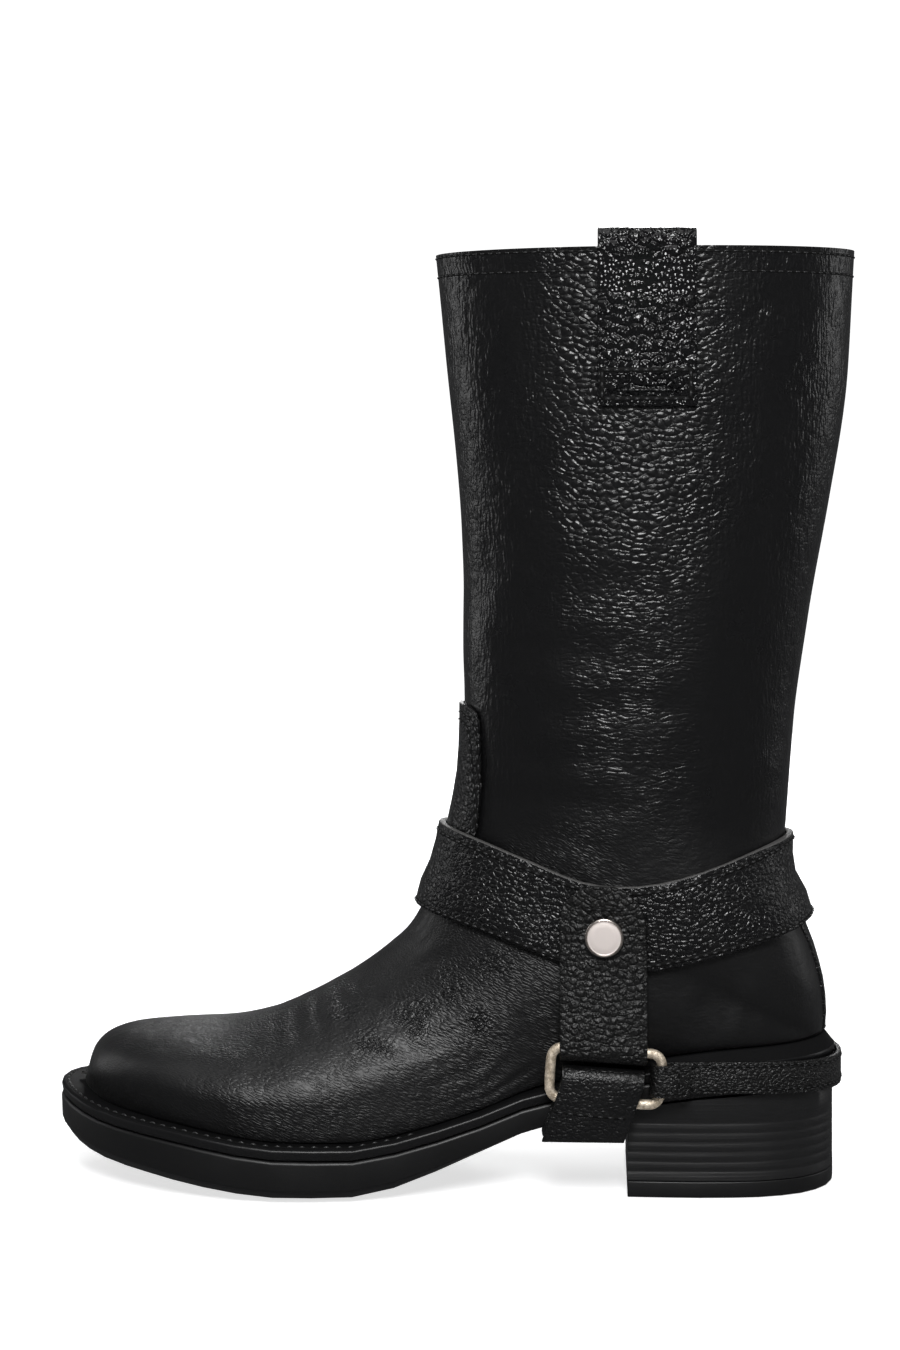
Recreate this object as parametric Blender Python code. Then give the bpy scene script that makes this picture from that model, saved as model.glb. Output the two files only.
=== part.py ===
"""Biker boot for a left foot: welted sole, stacked heel, pull-on shaft and a strap harness with oval rings.

Metres. +X points to the toe, +Y to the outer (lateral) side, +Z up. The origin is on the floor, in the middle of
the heel's tread. The upper is one hollow wall. Its sections fan out from the tip of the toe, over the vamp and
round the heel, and then climb the leg up to the collar.
"""

import math

import bpy
import bmesh
import numpy as np
from mathutils import Vector
from mathutils.bvhtree import BVHTree

# Clearance between pieces that touch
GAP = 0.0003
SEAT_GAP = 0.0004
DRAPE_GAP = 0.0005
INSIDE_GAP = 0.0011

# Sole
LENGTH = 0.269
BALL_WIDTH = 0.098
HEEL_LENGTH = 0.0716
HEEL_HEIGHT = 0.036
HEEL_LIFT = 0.0055
HEEL_INSET = 0.0008
LAYER = 0.0032
GROOVE = 0.0004
TOE_SPRING = 0.013
OUTSOLE = 0.0142
BEVEL = 0.0028
SOLE_ROLL = 0.0018
SOLE_ROLL_WIDTH = 0.018
WELT = 0.004
WELT_ROUND = 0.001
LEDGE = 0.006
LIP = 0.0007
INSOLE_RISE = 0.0015
BALL_ALONG = 0.65

# Upper
WALL = 0.0024
TOE_BOX = 0.0302
BOOT_HEIGHT = 0.318
LEG_AXIS = 0.0297
COLLAR_DEPTH = 0.144
COLLAR_WIDTH = 0.086
SIDE_BLEND = 0.004

# Overlays and pull loops
OVERLAY = 0.0015
TONGUE_TOP = 0.1625
TONGUE_UNDER_STRAP = 0.0035
TONGUE_WIDTH = 0.037
TONGUE_FLARE = 0.006
TONGUE_CORNER = 0.006
BACKSTAY_UNDER_STRAP = 0.0075
BACKSTAY_WIDTH = 0.026
BACKSTAY_FOOT_WIDTH = 0.013
LOOP_WIDTH = 0.0327
LOOP_THICKNESS = 0.0018
LOOP_DROP = 0.0515
LOOP_RISE = 0.006
LOOP_X = 0.0294

# Harness
STRAP_WIDTH = 0.029
STRAP_THICKNESS = 0.0024
STRAP_AXIS = 0.0387
STRAP_DIP = 2.4
STRAP_SIDE_HEIGHT = 0.090
STRAP_FRONT_HEIGHT = 0.1065
STRAP_BACK_HEIGHT = 0.1045
DROP_X = 0.0436
DROP_WIDTH = 0.0286
DROP_THICKNESS = 0.002
DROP_ABOVE_STRAP = 0.0155
DROP_STRAIGHT = 0.0127
DROP_RETURN = 0.006
DROP_LEAN = 0.0012
RIVET_RADIUS = 0.0065
RIVET_THICKNESS = 0.0014
RIVET_BELOW = 0.0018
RING_X = 0.0431
RING_HEIGHT = 0.042
RING_TILT = math.radians(3.6)
RING_LENGTH = 0.0408
RING_DEPTH = 0.021
RING_BAR = 0.0038
RING_THICKNESS = 0.003
RING_CORNER = 0.004
ARCH_THICKNESS = 0.0018
ARCH_WIDTH = 0.0272
ARCH_RING_X = 0.0439
ARCH_X = 0.0507
ARCH_LEAN = 0.0016
ARCH_LOOP_RISE = 0.0072
HEEL_STRAP_WIDTH = 0.0106
HEEL_STRAP_THICKNESS = 0.0015
HEEL_STRAP_HEIGHT = 0.039
HEEL_STRAP_RETURN = 0.0095
HEEL_STRAP_RUN = 0.014
HEEL_STRAP_LEAN = 0.0006

# How finely the solids are faceted
SOLE_STATIONS = 60
HEEL_STATIONS = 20
ROW_STEPS = 2
LOW_COLUMNS = 4
HIGH_COLUMNS = 6
DENSE = 4

HEEL_BACK = -HEEL_LENGTH / 2
HEEL_BREAST = HEEL_LENGTH / 2

# Outline of the sole from heel to toe: along is a share of LENGTH, lateral and medial of BALL_WIDTH, and ledge, the
# welt that shows outside the upper, of LEDGE
OUTLINE_COLUMNS = ("along", "lateral", "medial", "ledge")
OUTLINE = (
    (0.000, 0.000, 0.000, 0.67),
    (0.020, 0.178, -0.174, 0.67),
    (0.060, 0.272, -0.266, 0.67),
    (0.120, 0.322, -0.314, 0.67),
    (0.200, 0.336, -0.322, 0.65),
    (0.280, 0.333, -0.306, 0.60),
    (0.360, 0.340, -0.290, 0.60),
    (0.440, 0.372, -0.300, 0.66),
    (0.520, 0.425, -0.352, 0.82),
    (0.600, 0.472, -0.418, 0.97),
    (0.660, 0.494, -0.462, 1.00),
    (0.720, 0.498, -0.490, 1.02),
    (0.780, 0.476, -0.496, 1.06),
    (0.840, 0.430, -0.478, 1.12),
    (0.900, 0.348, -0.430, 1.22),
    (0.950, 0.242, -0.354, 1.32),
    (0.980, 0.132, -0.266, 1.40),
    (1.000, -0.060, -0.060, 1.42),
)

# Side view of the sole: the underside is heel of HEEL_HEIGHT plus spring of TOE_SPRING above the floor, thick is a
# share of OUTSOLE, bevel of BEVEL, rise, the welt's slope up to the upper, of WELT, and roll of SOLE_ROLL
PROFILE_COLUMNS = ("along", "heel", "spring", "thick", "bevel", "rise", "roll")
PROFILE = (
    (0.000, 1.000, 0.000, 0.50, 0.20, 0.90, 0.00),
    (0.137, 0.950, 0.000, 0.50, 0.20, 0.85, 0.00),
    (0.212, 0.889, 0.000, 0.51, 0.20, 0.75, 0.00),
    (0.276, 0.800, 0.000, 0.54, 0.20, 0.55, 0.00),
    (0.332, 0.711, 0.000, 0.55, 0.22, 0.35, 0.00),
    (0.385, 0.611, 0.000, 0.58, 0.25, 0.22, 0.00),
    (0.433, 0.467, 0.000, 0.60, 0.35, 0.15, 0.00),
    (0.478, 0.328, 0.000, 0.68, 0.55, 0.12, 0.10),
    (0.527, 0.172, 0.000, 0.83, 0.80, 0.10, 0.35),
    (0.572, 0.055, 0.000, 0.94, 1.00, 0.10, 0.70),
    (0.610, 0.000, 0.000, 1.00, 1.00, 0.10, 1.00),
    (0.692, 0.000, 0.000, 1.02, 1.00, 0.10, 1.00),
    (0.749, 0.000, 0.090, 1.04, 1.00, 0.10, 1.00),
    (0.812, 0.000, 0.260, 1.06, 1.00, 0.10, 1.00),
    (0.863, 0.000, 0.420, 1.03, 1.05, 0.10, 1.00),
    (0.925, 0.000, 0.600, 1.00, 1.15, 0.10, 0.90),
    (0.966, 0.000, 0.800, 0.98, 1.30, 0.10, 0.80),
    (1.000, 0.000, 1.000, 0.95, 1.40, 0.10, 0.70),
)

# Sections of the upper over the foot. turn is how far round the sole from toe tip (0) to heel (1) each one starts.
# Its ridge is at along of LENGTH, box of TOE_BOX plus leg of the leg's height above the welt, and shift of
# BALL_WIDTH off the middle. bulge and girth, of BALL_WIDTH, say how wide it gets: the base plus bulge, or girth
# where that is more. wide is the share of its height where it is widest; low and high shape it below and above.
FOOT_COLUMNS = ("turn", "along", "box", "leg", "shift", "bulge", "girth", "wide", "low", "high")
FOOT = (
    (0.00, 0.968, 0.37, 0.000, -0.060, 0.000, 0.00, 0.42, 2.0, 2.0),
    (0.05, 0.962, 0.58, 0.000, -0.060, 0.008, 0.00, 0.42, 2.0, 2.0),
    (0.10, 0.956, 0.74, 0.000, -0.062, 0.014, 0.00, 0.42, 2.0, 2.0),
    (0.15, 0.941, 0.87, 0.000, -0.064, 0.018, 0.00, 0.40, 2.0, 2.1),
    (0.21, 0.908, 0.96, 0.000, -0.068, 0.021, 0.00, 0.38, 2.0, 2.2),
    (0.27, 0.852, 1.00, 0.000, -0.070, 0.024, 0.00, 0.36, 2.0, 2.3),
    (0.33, 0.784, 1.00, 0.005, -0.070, 0.026, 0.00, 0.34, 2.0, 2.2),
    (0.39, 0.724, 1.00, 0.019, -0.068, 0.028, 0.00, 0.32, 2.0, 2.1),
    (0.45, 0.668, 1.00, 0.045, -0.062, 0.030, 0.00, 0.31, 2.0, 2.0),
    (0.51, 0.619, 1.00, 0.073, -0.052, 0.034, 0.00, 0.31, 1.9, 1.95),
    (0.57, 0.580, 1.00, 0.101, -0.040, 0.038, 0.30, 0.33, 1.8, 1.95),
    (0.64, 0.546, 1.00, 0.132, -0.026, 0.042, 0.335, 0.36, 1.7, 2.0),
    (0.72, 0.522, 1.00, 0.173, -0.014, 0.046, 0.350, 0.40, 1.6, 2.05),
    (0.81, 0.501, 1.00, 0.218, -0.006, 0.048, 0.359, 0.44, 1.6, 2.1),
    (0.90, 0.492, 1.00, 0.254, -0.002, 0.048, 0.366, 0.46, 1.7, 2.1),
    (1.00, 0.487, 1.00, 0.284, 0.000, 0.040, 0.371, 0.47, 2.4, 2.1),
)

# Sections of the leg: the back line is back of COLLAR_DEPTH behind LEG_AXIS and at back_up of the leg's height, the
# front line is front of COLLAR_DEPTH before it and at front_up, girth is a share of COLLAR_WIDTH
LEG_COLUMNS = ("back", "back_up", "front", "front_up", "girth", "wide", "low", "high")
LEG = (
    (0.426, 0.042, 0.440, 0.316, 0.430, 0.47, 2.4, 2.1),
    (0.402, 0.102, 0.434, 0.353, 0.434, 0.48, 2.3, 2.1),
    (0.366, 0.155, 0.430, 0.391, 0.437, 0.48, 2.2, 2.1),
    (0.335, 0.230, 0.430, 0.439, 0.441, 0.48, 2.1, 2.1),
    (0.342, 0.297, 0.432, 0.495, 0.447, 0.48, 2.1, 2.1),
    (0.354, 0.398, 0.432, 0.559, 0.455, 0.48, 2.1, 2.1),
    (0.392, 0.532, 0.439, 0.641, 0.466, 0.49, 2.1, 2.1),
    (0.441, 0.678, 0.453, 0.738, 0.480, 0.50, 2.1, 2.1),
    (0.483, 0.839, 0.476, 0.869, 0.493, 0.50, 2.1, 2.1),
    (0.501, 1.000, 0.500, 0.996, 0.500, 0.50, 2.1, 2.1),
)


def column(table, columns, name):
    """One named column of a table, as an array."""
    return np.array([row[columns.index(name)] for row in table])


def curve(knots, values, at):
    """Smooth curve through the values that never swings past them: cubic, with limited slopes."""
    knots = np.asarray(knots, float)
    values = np.asarray(values, float)
    at = np.clip(np.asarray(at, float), knots[0], knots[-1])
    step = np.diff(knots)
    rate = np.diff(values) / step
    slope = np.empty_like(values)
    slope[0] = rate[0]
    slope[-1] = rate[-1]
    before = 2 * step[1:] + step[:-1]
    after = step[1:] + 2 * step[:-1]
    same_way = rate[:-1] * rate[1:] > 0
    safe_before = np.where(same_way, rate[:-1], 1.0)
    safe_after = np.where(same_way, rate[1:], 1.0)
    mean = (before + after) / (before / safe_before + after / safe_after)
    slope[1:-1] = np.where(same_way, mean, 0.0)
    cell = np.clip(np.searchsorted(knots, at, side="right") - 1, 0, len(step) - 1)
    t = (at - knots[cell]) / step[cell]
    rise = values[cell + 1] - values[cell]
    bend = step[cell] * (slope[cell] * (1 - t) - slope[cell + 1] * t)
    return values[cell] + rise * t * t * (3 - 2 * t) + bend * t * (1 - t)


def around(lateral_name, medial_name):
    """Knots and values of outline columns, once round the sole: heel, medial side, toe, lateral side, heel."""
    turn = np.arccos(2 * column(OUTLINE, OUTLINE_COLUMNS, "along") - 1)
    medial = column(OUTLINE, OUTLINE_COLUMNS, medial_name)
    lateral = column(OUTLINE, OUTLINE_COLUMNS, lateral_name)
    knots = np.concatenate([-turn, turn[::-1][1:]])
    values = np.concatenate([medial, lateral[::-1][1:]])
    extra = 3
    lead = knots[-1 - extra:-1] - 2 * math.pi
    tail = knots[1:1 + extra] + 2 * math.pi
    knots = np.concatenate([lead, knots, tail])
    values = np.concatenate([values[-1 - extra:-1], values, values[1:1 + extra]])
    return knots, values


def edge(turn, inset=0.0):
    """Points of the sole's outline at the given turns (0 at the toe, + lateral), set in along the normal."""
    turn = np.asarray(turn, float)
    knots, shares = around("lateral", "medial")

    def place(at):
        x = HEEL_BACK + LENGTH * (1 + np.cos(at)) / 2
        return x, BALL_WIDTH * curve(knots, shares, at)

    reach = 0.01
    x, y = place(turn)
    x_after, y_after = place(turn + reach)
    x_before, y_before = place(turn - reach)
    run = np.hypot(x_after - x_before, y_after - y_before)
    return x - inset * (y_after - y_before) / run, y + inset * (x_after - x_before) / run


def ledge(turn):
    """Width of the welt that shows outside the upper."""
    return LEDGE * curve(*around("ledge", "ledge"), turn)


def profile(name, x):
    """One column of the sole's side view at x."""
    along = (np.asarray(x, float) - HEEL_BACK) / LENGTH
    return curve(column(PROFILE, PROFILE_COLUMNS, "along"), column(PROFILE, PROFILE_COLUMNS, name), along)


def underside(x):
    """Height of the outsole's underside."""
    return HEEL_HEIGHT * profile("heel", x) + TOE_SPRING * profile("spring", x)


def roll(x):
    """How far the edge of the underside is rolled up, under the ball and the toe only."""
    return SOLE_ROLL * profile("roll", x)


def outsole_top(x):
    """Height of the outsole's top."""
    return underside(x) + OUTSOLE * profile("thick", x)


def welt_edge(x):
    """Height of the welt's top at its outer edge."""
    return outsole_top(x) + GAP + WELT


def welt_seat(x):
    """Height of the welt's top under the upper."""
    return welt_edge(x) + WELT * profile("rise", x)


def rows_of(steps):
    """Every section of the upper as columns of numbers: the two tables, with steps rows from one to the next."""
    foot = {name: column(FOOT, FOOT_COLUMNS, name) for name in FOOT_COLUMNS}
    leg = {name: column(LEG, LEG_COLUMNS, name) for name in LEG_COLUMNS}
    ball = float(welt_seat(HEEL_BACK + LENGTH * BALL_ALONG))
    leg_height = BOOT_HEIGHT - ball - TOE_BOX
    heel_x = HEEL_BACK + float(ledge(math.pi))
    heel_z = float(welt_seat(heel_x)) + SEAT_GAP
    span = BOOT_HEIGHT - heel_z
    rows = {
        "turn": np.concatenate([foot["turn"], np.ones(len(LEG))]) * math.pi,
        "back_x": np.concatenate([np.zeros(len(FOOT)), LEG_AXIS - leg["back"] * COLLAR_DEPTH - heel_x]),
        "back_z": np.concatenate([np.zeros(len(FOOT)), leg["back_up"] * span]),
        "ridge_x": np.concatenate([HEEL_BACK + foot["along"] * LENGTH, LEG_AXIS + leg["front"] * COLLAR_DEPTH]),
        "ridge_z": ball + TOE_BOX * np.concatenate([foot["box"], np.ones(len(LEG))])
        + leg_height * np.concatenate([foot["leg"], leg["front_up"]]),
        "shift": BALL_WIDTH * np.concatenate([foot["shift"], np.zeros(len(LEG))]),
        "bulge": BALL_WIDTH * np.concatenate([foot["bulge"], np.zeros(len(LEG))]),
        "girth": np.concatenate([foot["girth"] * BALL_WIDTH, leg["girth"] * COLLAR_WIDTH]),
        "wide": np.concatenate([foot["wide"], leg["wide"]]),
        "low": np.concatenate([foot["low"], leg["low"]]),
        "high": np.concatenate([foot["high"], leg["high"]]),
    }
    index = np.arange(len(FOOT) + len(LEG), dtype=float)
    fine = np.linspace(0, index[-1], (len(index) - 1) * steps + 1)
    heel_row = (len(FOOT) - 1) * steps
    return {name: curve(index, values, fine) for name, values in rows.items()}, heel_row


def skin_grid(steps, finer=1):
    """Outer surface of the upper as a grid: rows from toe to collar, columns from lateral to medial base."""
    rows, heel_row = rows_of(steps)
    low = LOW_COLUMNS * finer
    high = HIGH_COLUMNS * finer
    low_angle = np.linspace(0, math.pi / 2, low + 1)[:, None]
    high_angle = np.linspace(0, math.pi / 2, high + 1)[1:, None]
    halves = []
    for side in (1, -1):
        turn = side * rows["turn"]
        base_x, base_y = edge(turn, ledge(turn))
        base_z = welt_seat(base_x) + SEAT_GAP + rows["back_z"]
        base_x = base_x + rows["back_x"]
        base_y = np.where(rows["turn"] > math.pi - 1e-6, 0.0, base_y)
        spread = side * base_y + rows["bulge"]
        apart = np.sqrt((spread - rows["girth"]) ** 2 + SIDE_BLEND ** 2)
        widest = side * (spread + rows["girth"] + apart - SIDE_BLEND) / 2
        bend = 2 / rows["low"]
        low_y = base_y + (widest - base_y) * np.sin(low_angle) ** bend
        low_up = rows["wide"] * (1 - np.cos(low_angle) ** bend)
        bend = 2 / rows["high"]
        fade = np.where(np.arange(high) == high - 1, 0.0, np.cos(high_angle[:, 0]))[:, None]
        high_y = rows["shift"] + (widest - rows["shift"]) * fade ** bend
        high_up = rows["wide"] + (1 - rows["wide"]) * np.sin(high_angle) ** bend
        y = np.concatenate([low_y, high_y]).T
        up = np.concatenate([low_up, high_up]).T
        x = base_x[:, None] + (rows["ridge_x"] - base_x)[:, None] * up
        z = base_z[:, None] + (rows["ridge_z"] - base_z)[:, None] * up
        halves.append(np.stack([x, y, z], axis=2))
    lateral, medial = halves
    grid = np.concatenate([lateral, medial[:, ::-1][:, 1:]], axis=1)
    grid[0] = lateral[0, 0]
    return grid, heel_row


def grid_faces(grid, heel_row):
    """Vertex numbers of the grid, with the toe's row as one point and the leg's ends joined, and its faces."""
    rows, columns = grid.shape[:2]
    number = np.zeros((rows, columns), int)
    points = [grid[0, 0]]
    for row in range(1, rows):
        for place in range(columns):
            if row >= heel_row and place == columns - 1:
                number[row, place] = number[row, 0]
            else:
                number[row, place] = len(points)
                points.append(grid[row, place])
    faces = []
    for row in range(rows - 1):
        for place in range(columns - 1):
            ring = (number[row, place], number[row + 1, place], number[row + 1, place + 1], number[row, place + 1])
            face = tuple(dict.fromkeys(int(v) for v in ring))
            faces.append(face)
    return np.array(points), faces, number


def point_normals(points, faces):
    """Outward normal at every point of the upper's outer surface."""
    normals = np.zeros_like(points)
    for face in faces:
        ring = points[list(face)]
        across = ring[2] - ring[0]
        other = ring[-1] - ring[1] if len(face) > 3 else ring[1] - ring[0]
        flat = np.cross(across, other) if len(face) > 3 else np.cross(other, across)
        normals[list(face)] += flat
    return normals / np.linalg.norm(normals, axis=1)[:, None]


def material(name, colour, roughness, metallic=0.0):
    """A plain surface for one kind of material."""
    made = bpy.data.materials.get(name)
    if made is None:
        made = bpy.data.materials.new(name)
        made.use_nodes = True
        shader = made.node_tree.nodes["Principled BSDF"]
        shader.inputs["Base Color"].default_value = (*colour, 1.0)
        shader.inputs["Roughness"].default_value = roughness
        shader.inputs["Metallic"].default_value = metallic
    return made


def leather(name):
    return material(name, (0.012, 0.012, 0.013), 0.32)


def rubber(name):
    return material(name, (0.014, 0.014, 0.015), 0.5)


def solid(name, points, faces, finish):
    """One closed solid as an object, faces outward, round parts shaded smooth."""
    shape = bmesh.new()
    corners = [shape.verts.new(Vector(point)) for point in points]
    for face in faces:
        shape.faces.new([corners[v] for v in face])
    bmesh.ops.recalc_face_normals(shape, faces=shape.faces)
    mesh = bpy.data.meshes.new(name)
    shape.to_mesh(mesh)
    shape.free()
    mesh.materials.append(finish)
    mesh.shade_smooth()
    mesh.set_sharp_from_angle(angle=math.radians(35))
    made = bpy.data.objects.new(name, mesh)
    bpy.context.scene.collection.objects.link(made)
    return made


def slab(name, inner, outer, finish, closed=False):
    """A solid between two grids of points of the same size; closed joins its last row to its first."""
    rows, columns = inner.shape[:2]
    points = np.concatenate([inner.reshape(-1, 3), outer.reshape(-1, 3)])
    offset = rows * columns

    def at(row, place):
        return (row % rows) * columns + place

    faces = []
    for row in range(rows if closed else rows - 1):
        for place in range(columns - 1):
            ring = (at(row, place), at(row + 1, place), at(row + 1, place + 1), at(row, place + 1))
            faces.append(ring)
            faces.append(tuple(v + offset for v in reversed(ring)))
        for place in (0, columns - 1):
            near, far = at(row, place), at(row + 1, place)
            faces.append((near, far, far + offset, near + offset))
    if not closed:
        for row in (0, rows - 1):
            for place in range(columns - 1):
                near, far = at(row, place), at(row, place + 1)
                faces.append((near, far, far + offset, near + offset))
    return solid(name, points, faces, finish)


def rings(name, loops, finish, capped=True):
    """A solid from loops of points, one above the other, with caps, or without them closed on itself."""
    loops = np.array(loops)
    levels, count = loops.shape[:2]
    points = loops.reshape(-1, 3)
    faces = []
    for level in range(levels - 1 if capped else levels):
        here = level * count
        there = (level + 1) % levels * count
        for place in range(count):
            after = (place + 1) % count
            faces.append((here + place, here + after, there + after, there + place))
    if capped:
        for start in (0, (levels - 1) * count):
            faces.append((start, start + 1, start + count - 1))
            for place in range(1, count // 2 - 1):
                faces.append((start + place, start + place + 1, start + count - place - 1, start + count - place))
            middle = start + count // 2
            faces.append((middle - 1, middle, middle + 1))
    return solid(name, points, faces, finish)


def loop_at(turn, inset, height):
    """Points of the outline at an inset, each at the height that it has there."""
    x, y = edge(turn, inset)
    return np.stack([x, y, height(x)], axis=1)


def sole_turns():
    return np.arange(SOLE_STATIONS) * 2 * math.pi / SOLE_STATIONS


def wrapped(turn):
    """The same turns between minus pi and pi."""
    return (turn + math.pi) % (2 * math.pi) - math.pi


def build_outsole():
    turn = wrapped(sole_turns())
    loops = [
        loop_at(turn, LIP, outsole_top),
        loop_at(turn, 0.0, lambda x: outsole_top(x) - LIP),
        loop_at(turn, GAP, lambda x: underside(x) + roll(x) + BEVEL * profile("bevel", x)),
        loop_at(turn, BEVEL * 1.2, lambda x: underside(x) + roll(x)),
        loop_at(turn, SOLE_ROLL_WIDTH, underside),
    ]
    return rings("outsole", loops, rubber("outsole_rubber"))


def build_welt():
    turn = wrapped(sole_turns())
    shown = ledge(turn)
    inner = shown + WALL

    def foot(x):
        return outsole_top(x) + GAP

    loops = [
        loop_at(turn, inner, foot),
        loop_at(turn, inner, welt_seat),
        loop_at(turn, shown - GAP, welt_seat),
        loop_at(turn, WELT_ROUND, welt_edge),
        loop_at(turn, 0.0, lambda x: welt_edge(x) - WELT_ROUND),
        loop_at(turn, WELT_ROUND * 0.6, foot),
    ]
    return rings("welt", loops, rubber("welt_rubber"), capped=False)


def build_insole():
    turn = wrapped(sole_turns())
    inset = ledge(turn) + WALL + 2 * GAP
    loops = [
        loop_at(turn, inset, lambda x: outsole_top(x) + GAP),
        loop_at(turn, inset, lambda x: welt_seat(x) + INSOLE_RISE * 0.5),
        loop_at(turn, inset + INSOLE_RISE * 0.5, lambda x: welt_seat(x) + INSOLE_RISE),
    ]
    return rings("insole", loops, material("insole_leather", (0.03, 0.027, 0.024), 0.7))


def heel_loop(inset, height, groove=0.0):
    """The heel's outline: round the back from breast to breast, with a straight breast."""
    breast_turn = math.acos(2 * (HEEL_BREAST - HEEL_BACK) / LENGTH - 1)
    turn = np.linspace(breast_turn, 2 * math.pi - breast_turn, HEEL_STATIONS + 1)
    x, y = edge(wrapped(turn), inset + groove)
    x[0] = x[-1] = HEEL_BREAST
    x = np.minimum(x, HEEL_BREAST)
    if callable(height):
        return np.stack([x, y, height(x)], axis=1)
    return np.stack([x, y, np.full_like(x, height)], axis=1)


def heel_solid(name, loops, finish):
    """A solid from heel outlines, one above the other, with flat strips across as its top and bottom."""
    loops = np.array(loops)
    levels, count = loops.shape[:2]
    faces = []
    for level in range(levels - 1):
        here, there = level * count, (level + 1) * count
        for place in range(count):
            after = (place + 1) % count
            faces.append((here + place, here + after, there + after, there + place))
    for start in (0, (levels - 1) * count):
        for place in range(count // 2 - 1):
            faces.append((start + place, start + place + 1, start + count - place - 2, start + count - place - 1))
        middle = count // 2
        faces.append((start + middle - 1, start + middle, start + middle + 1))
    return solid(name, loops.reshape(-1, 3), faces, finish)


def build_heel():
    lift = [
        heel_loop(HEEL_INSET + GAP * 2, 0.0),
        heel_loop(HEEL_INSET, GAP * 2),
        heel_loop(HEEL_INSET, HEEL_LIFT),
    ]
    heel_solid("heel_lift", lift, rubber("heel_rubber"))
    start = HEEL_LIFT + GAP
    room = float(underside(HEEL_BREAST)) - GAP - start
    layers = int(room / LAYER)
    block = [heel_loop(HEEL_INSET, start)]
    for layer in range(1, layers):
        height = start + layer * LAYER
        block.append(heel_loop(HEEL_INSET, height - GROOVE))
        block.append(heel_loop(HEEL_INSET, height, groove=GROOVE))
        block.append(heel_loop(HEEL_INSET, height + GROOVE))
    block.append(heel_loop(HEEL_INSET, lambda x: underside(x) - GAP))
    return heel_solid("heel_block", block, rubber("heel_rubber"))


def build_upper():
    """The upper: its outer surface, the same surface set in by the wall, and rims at collar and sole."""
    grid, heel_row = skin_grid(ROW_STEPS)
    points, faces, number = grid_faces(grid, heel_row)
    normals = point_normals(points, faces)
    rows, heel_row = rows_of(ROW_STEPS)
    inner = points - WALL * normals
    last = number.shape[0] - 1
    collar = number[last]
    flat = normals[collar] * (1, 1, 0)
    inner[collar] = points[collar] - WALL * flat / np.linalg.norm(flat, axis=1)[:, None]
    for row in range(heel_row + 1):
        for side, place in ((1, 0), (-1, number.shape[1] - 1)):
            turn = side * rows["turn"][row]
            x, y = edge(turn, ledge(turn) + WALL)
            y = 0.0 if row == heel_row else float(y)
            inner[number[row, place]] = (float(x), y, points[number[row, place], 2])
    count = len(points)
    faces = faces + [tuple(v + count for v in reversed(face)) for face in faces]
    for row in range(heel_row):
        for place in (0, number.shape[1] - 1):
            near, far = int(number[row, place]), int(number[row + 1, place])
            faces.append((near, far, far + count, near + count))
    for place in range(number.shape[1] - 1):
        near, far = int(collar[place]), int(collar[place + 1])
        faces.append((near, far, far + count, near + count))
    return solid("upper", np.concatenate([points, inner]), faces, leather("upper_leather"))


def skin_tree():
    """The upper's outer surface, finely faceted, for laying straps and overlays on it."""
    grid, heel_row = skin_grid(ROW_STEPS * DENSE, finer=DENSE)
    points, faces, _ = grid_faces(grid, heel_row)
    return BVHTree.FromPolygons([Vector(point) for point in points], faces)


def hit(tree, start, way):
    """Where a line from start meets the upper, with the normal there."""
    point, normal, _, _ = tree.ray_cast(Vector(start), Vector(way))
    if normal.dot(Vector(way)) > 0:
        normal = -normal
    return np.array(point), np.array(normal)


def from_side(tree, side, x, z):
    """The upper's surface seen from the lateral (1) or medial (-1) side."""
    return hit(tree, (x, side * LENGTH, z), (0, -side, 0))


def from_axis(tree, axis_x, angle, z):
    """The upper's surface in a direction from an upright axis, 0 being forward."""
    way = np.array([math.cos(angle), math.sin(angle), 0.0])
    start = np.array([axis_x, 0.0, z]) + way * LENGTH
    return hit(tree, start, -way)


def lay(spots, lift, thickness):
    """Inner and outer grid of a piece that lies on spots (point and normal), lifted off them."""
    points = np.array([[spot[0] for spot in row] for row in spots])
    normals = np.array([[spot[1] for spot in row] for row in spots])
    lift = np.asarray(lift)
    if lift.ndim:
        lift = lift[..., None]
    return points + normals * lift, points + normals * (lift + thickness)


def strap_height(angle):
    """Height of the ankle strap's middle line round the leg, lowest at the sides."""
    end = STRAP_FRONT_HEIGHT if math.cos(angle) > 0 else STRAP_BACK_HEIGHT
    return STRAP_SIDE_HEIGHT + (end - STRAP_SIDE_HEIGHT) * abs(math.cos(angle)) ** STRAP_DIP


def near(angle, centre, full, none):
    """1 within full degrees of a direction, falling smoothly to 0 at none degrees."""
    off = math.degrees(abs(math.remainder(angle - centre, 2 * math.pi)))
    share = min(max((none - off) / (none - full), 0.0), 1.0)
    return share * share * (3 - 2 * share)


def build_ankle_strap(tree):
    """The broad strap round the ankle, over the lower end of the tongue and the upper end of the backstay."""
    stations, across = 52, 5
    shares = np.linspace(-0.5, 0.5, across)
    spots = []
    lift = np.full((stations, across), DRAPE_GAP)
    for station in range(stations):
        even = 2 * math.pi * station / stations
        angle = even - 0.25 * math.sin(2 * even)
        middle = strap_height(angle)
        spots.append([from_axis(tree, STRAP_AXIS, angle, middle + share * STRAP_WIDTH) for share in shares])
        over_tongue = near(angle, 0.0, 32, 50) * (shares > shares[0])
        over_backstay = near(angle, math.pi, 20, 38) * (shares < 0)
        lift[station] += (OVERLAY + GAP) * (over_tongue + over_backstay)
    slab("ankle_strap", *lay(spots, lift, STRAP_THICKNESS), leather("strap_leather"), closed=True)


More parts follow.
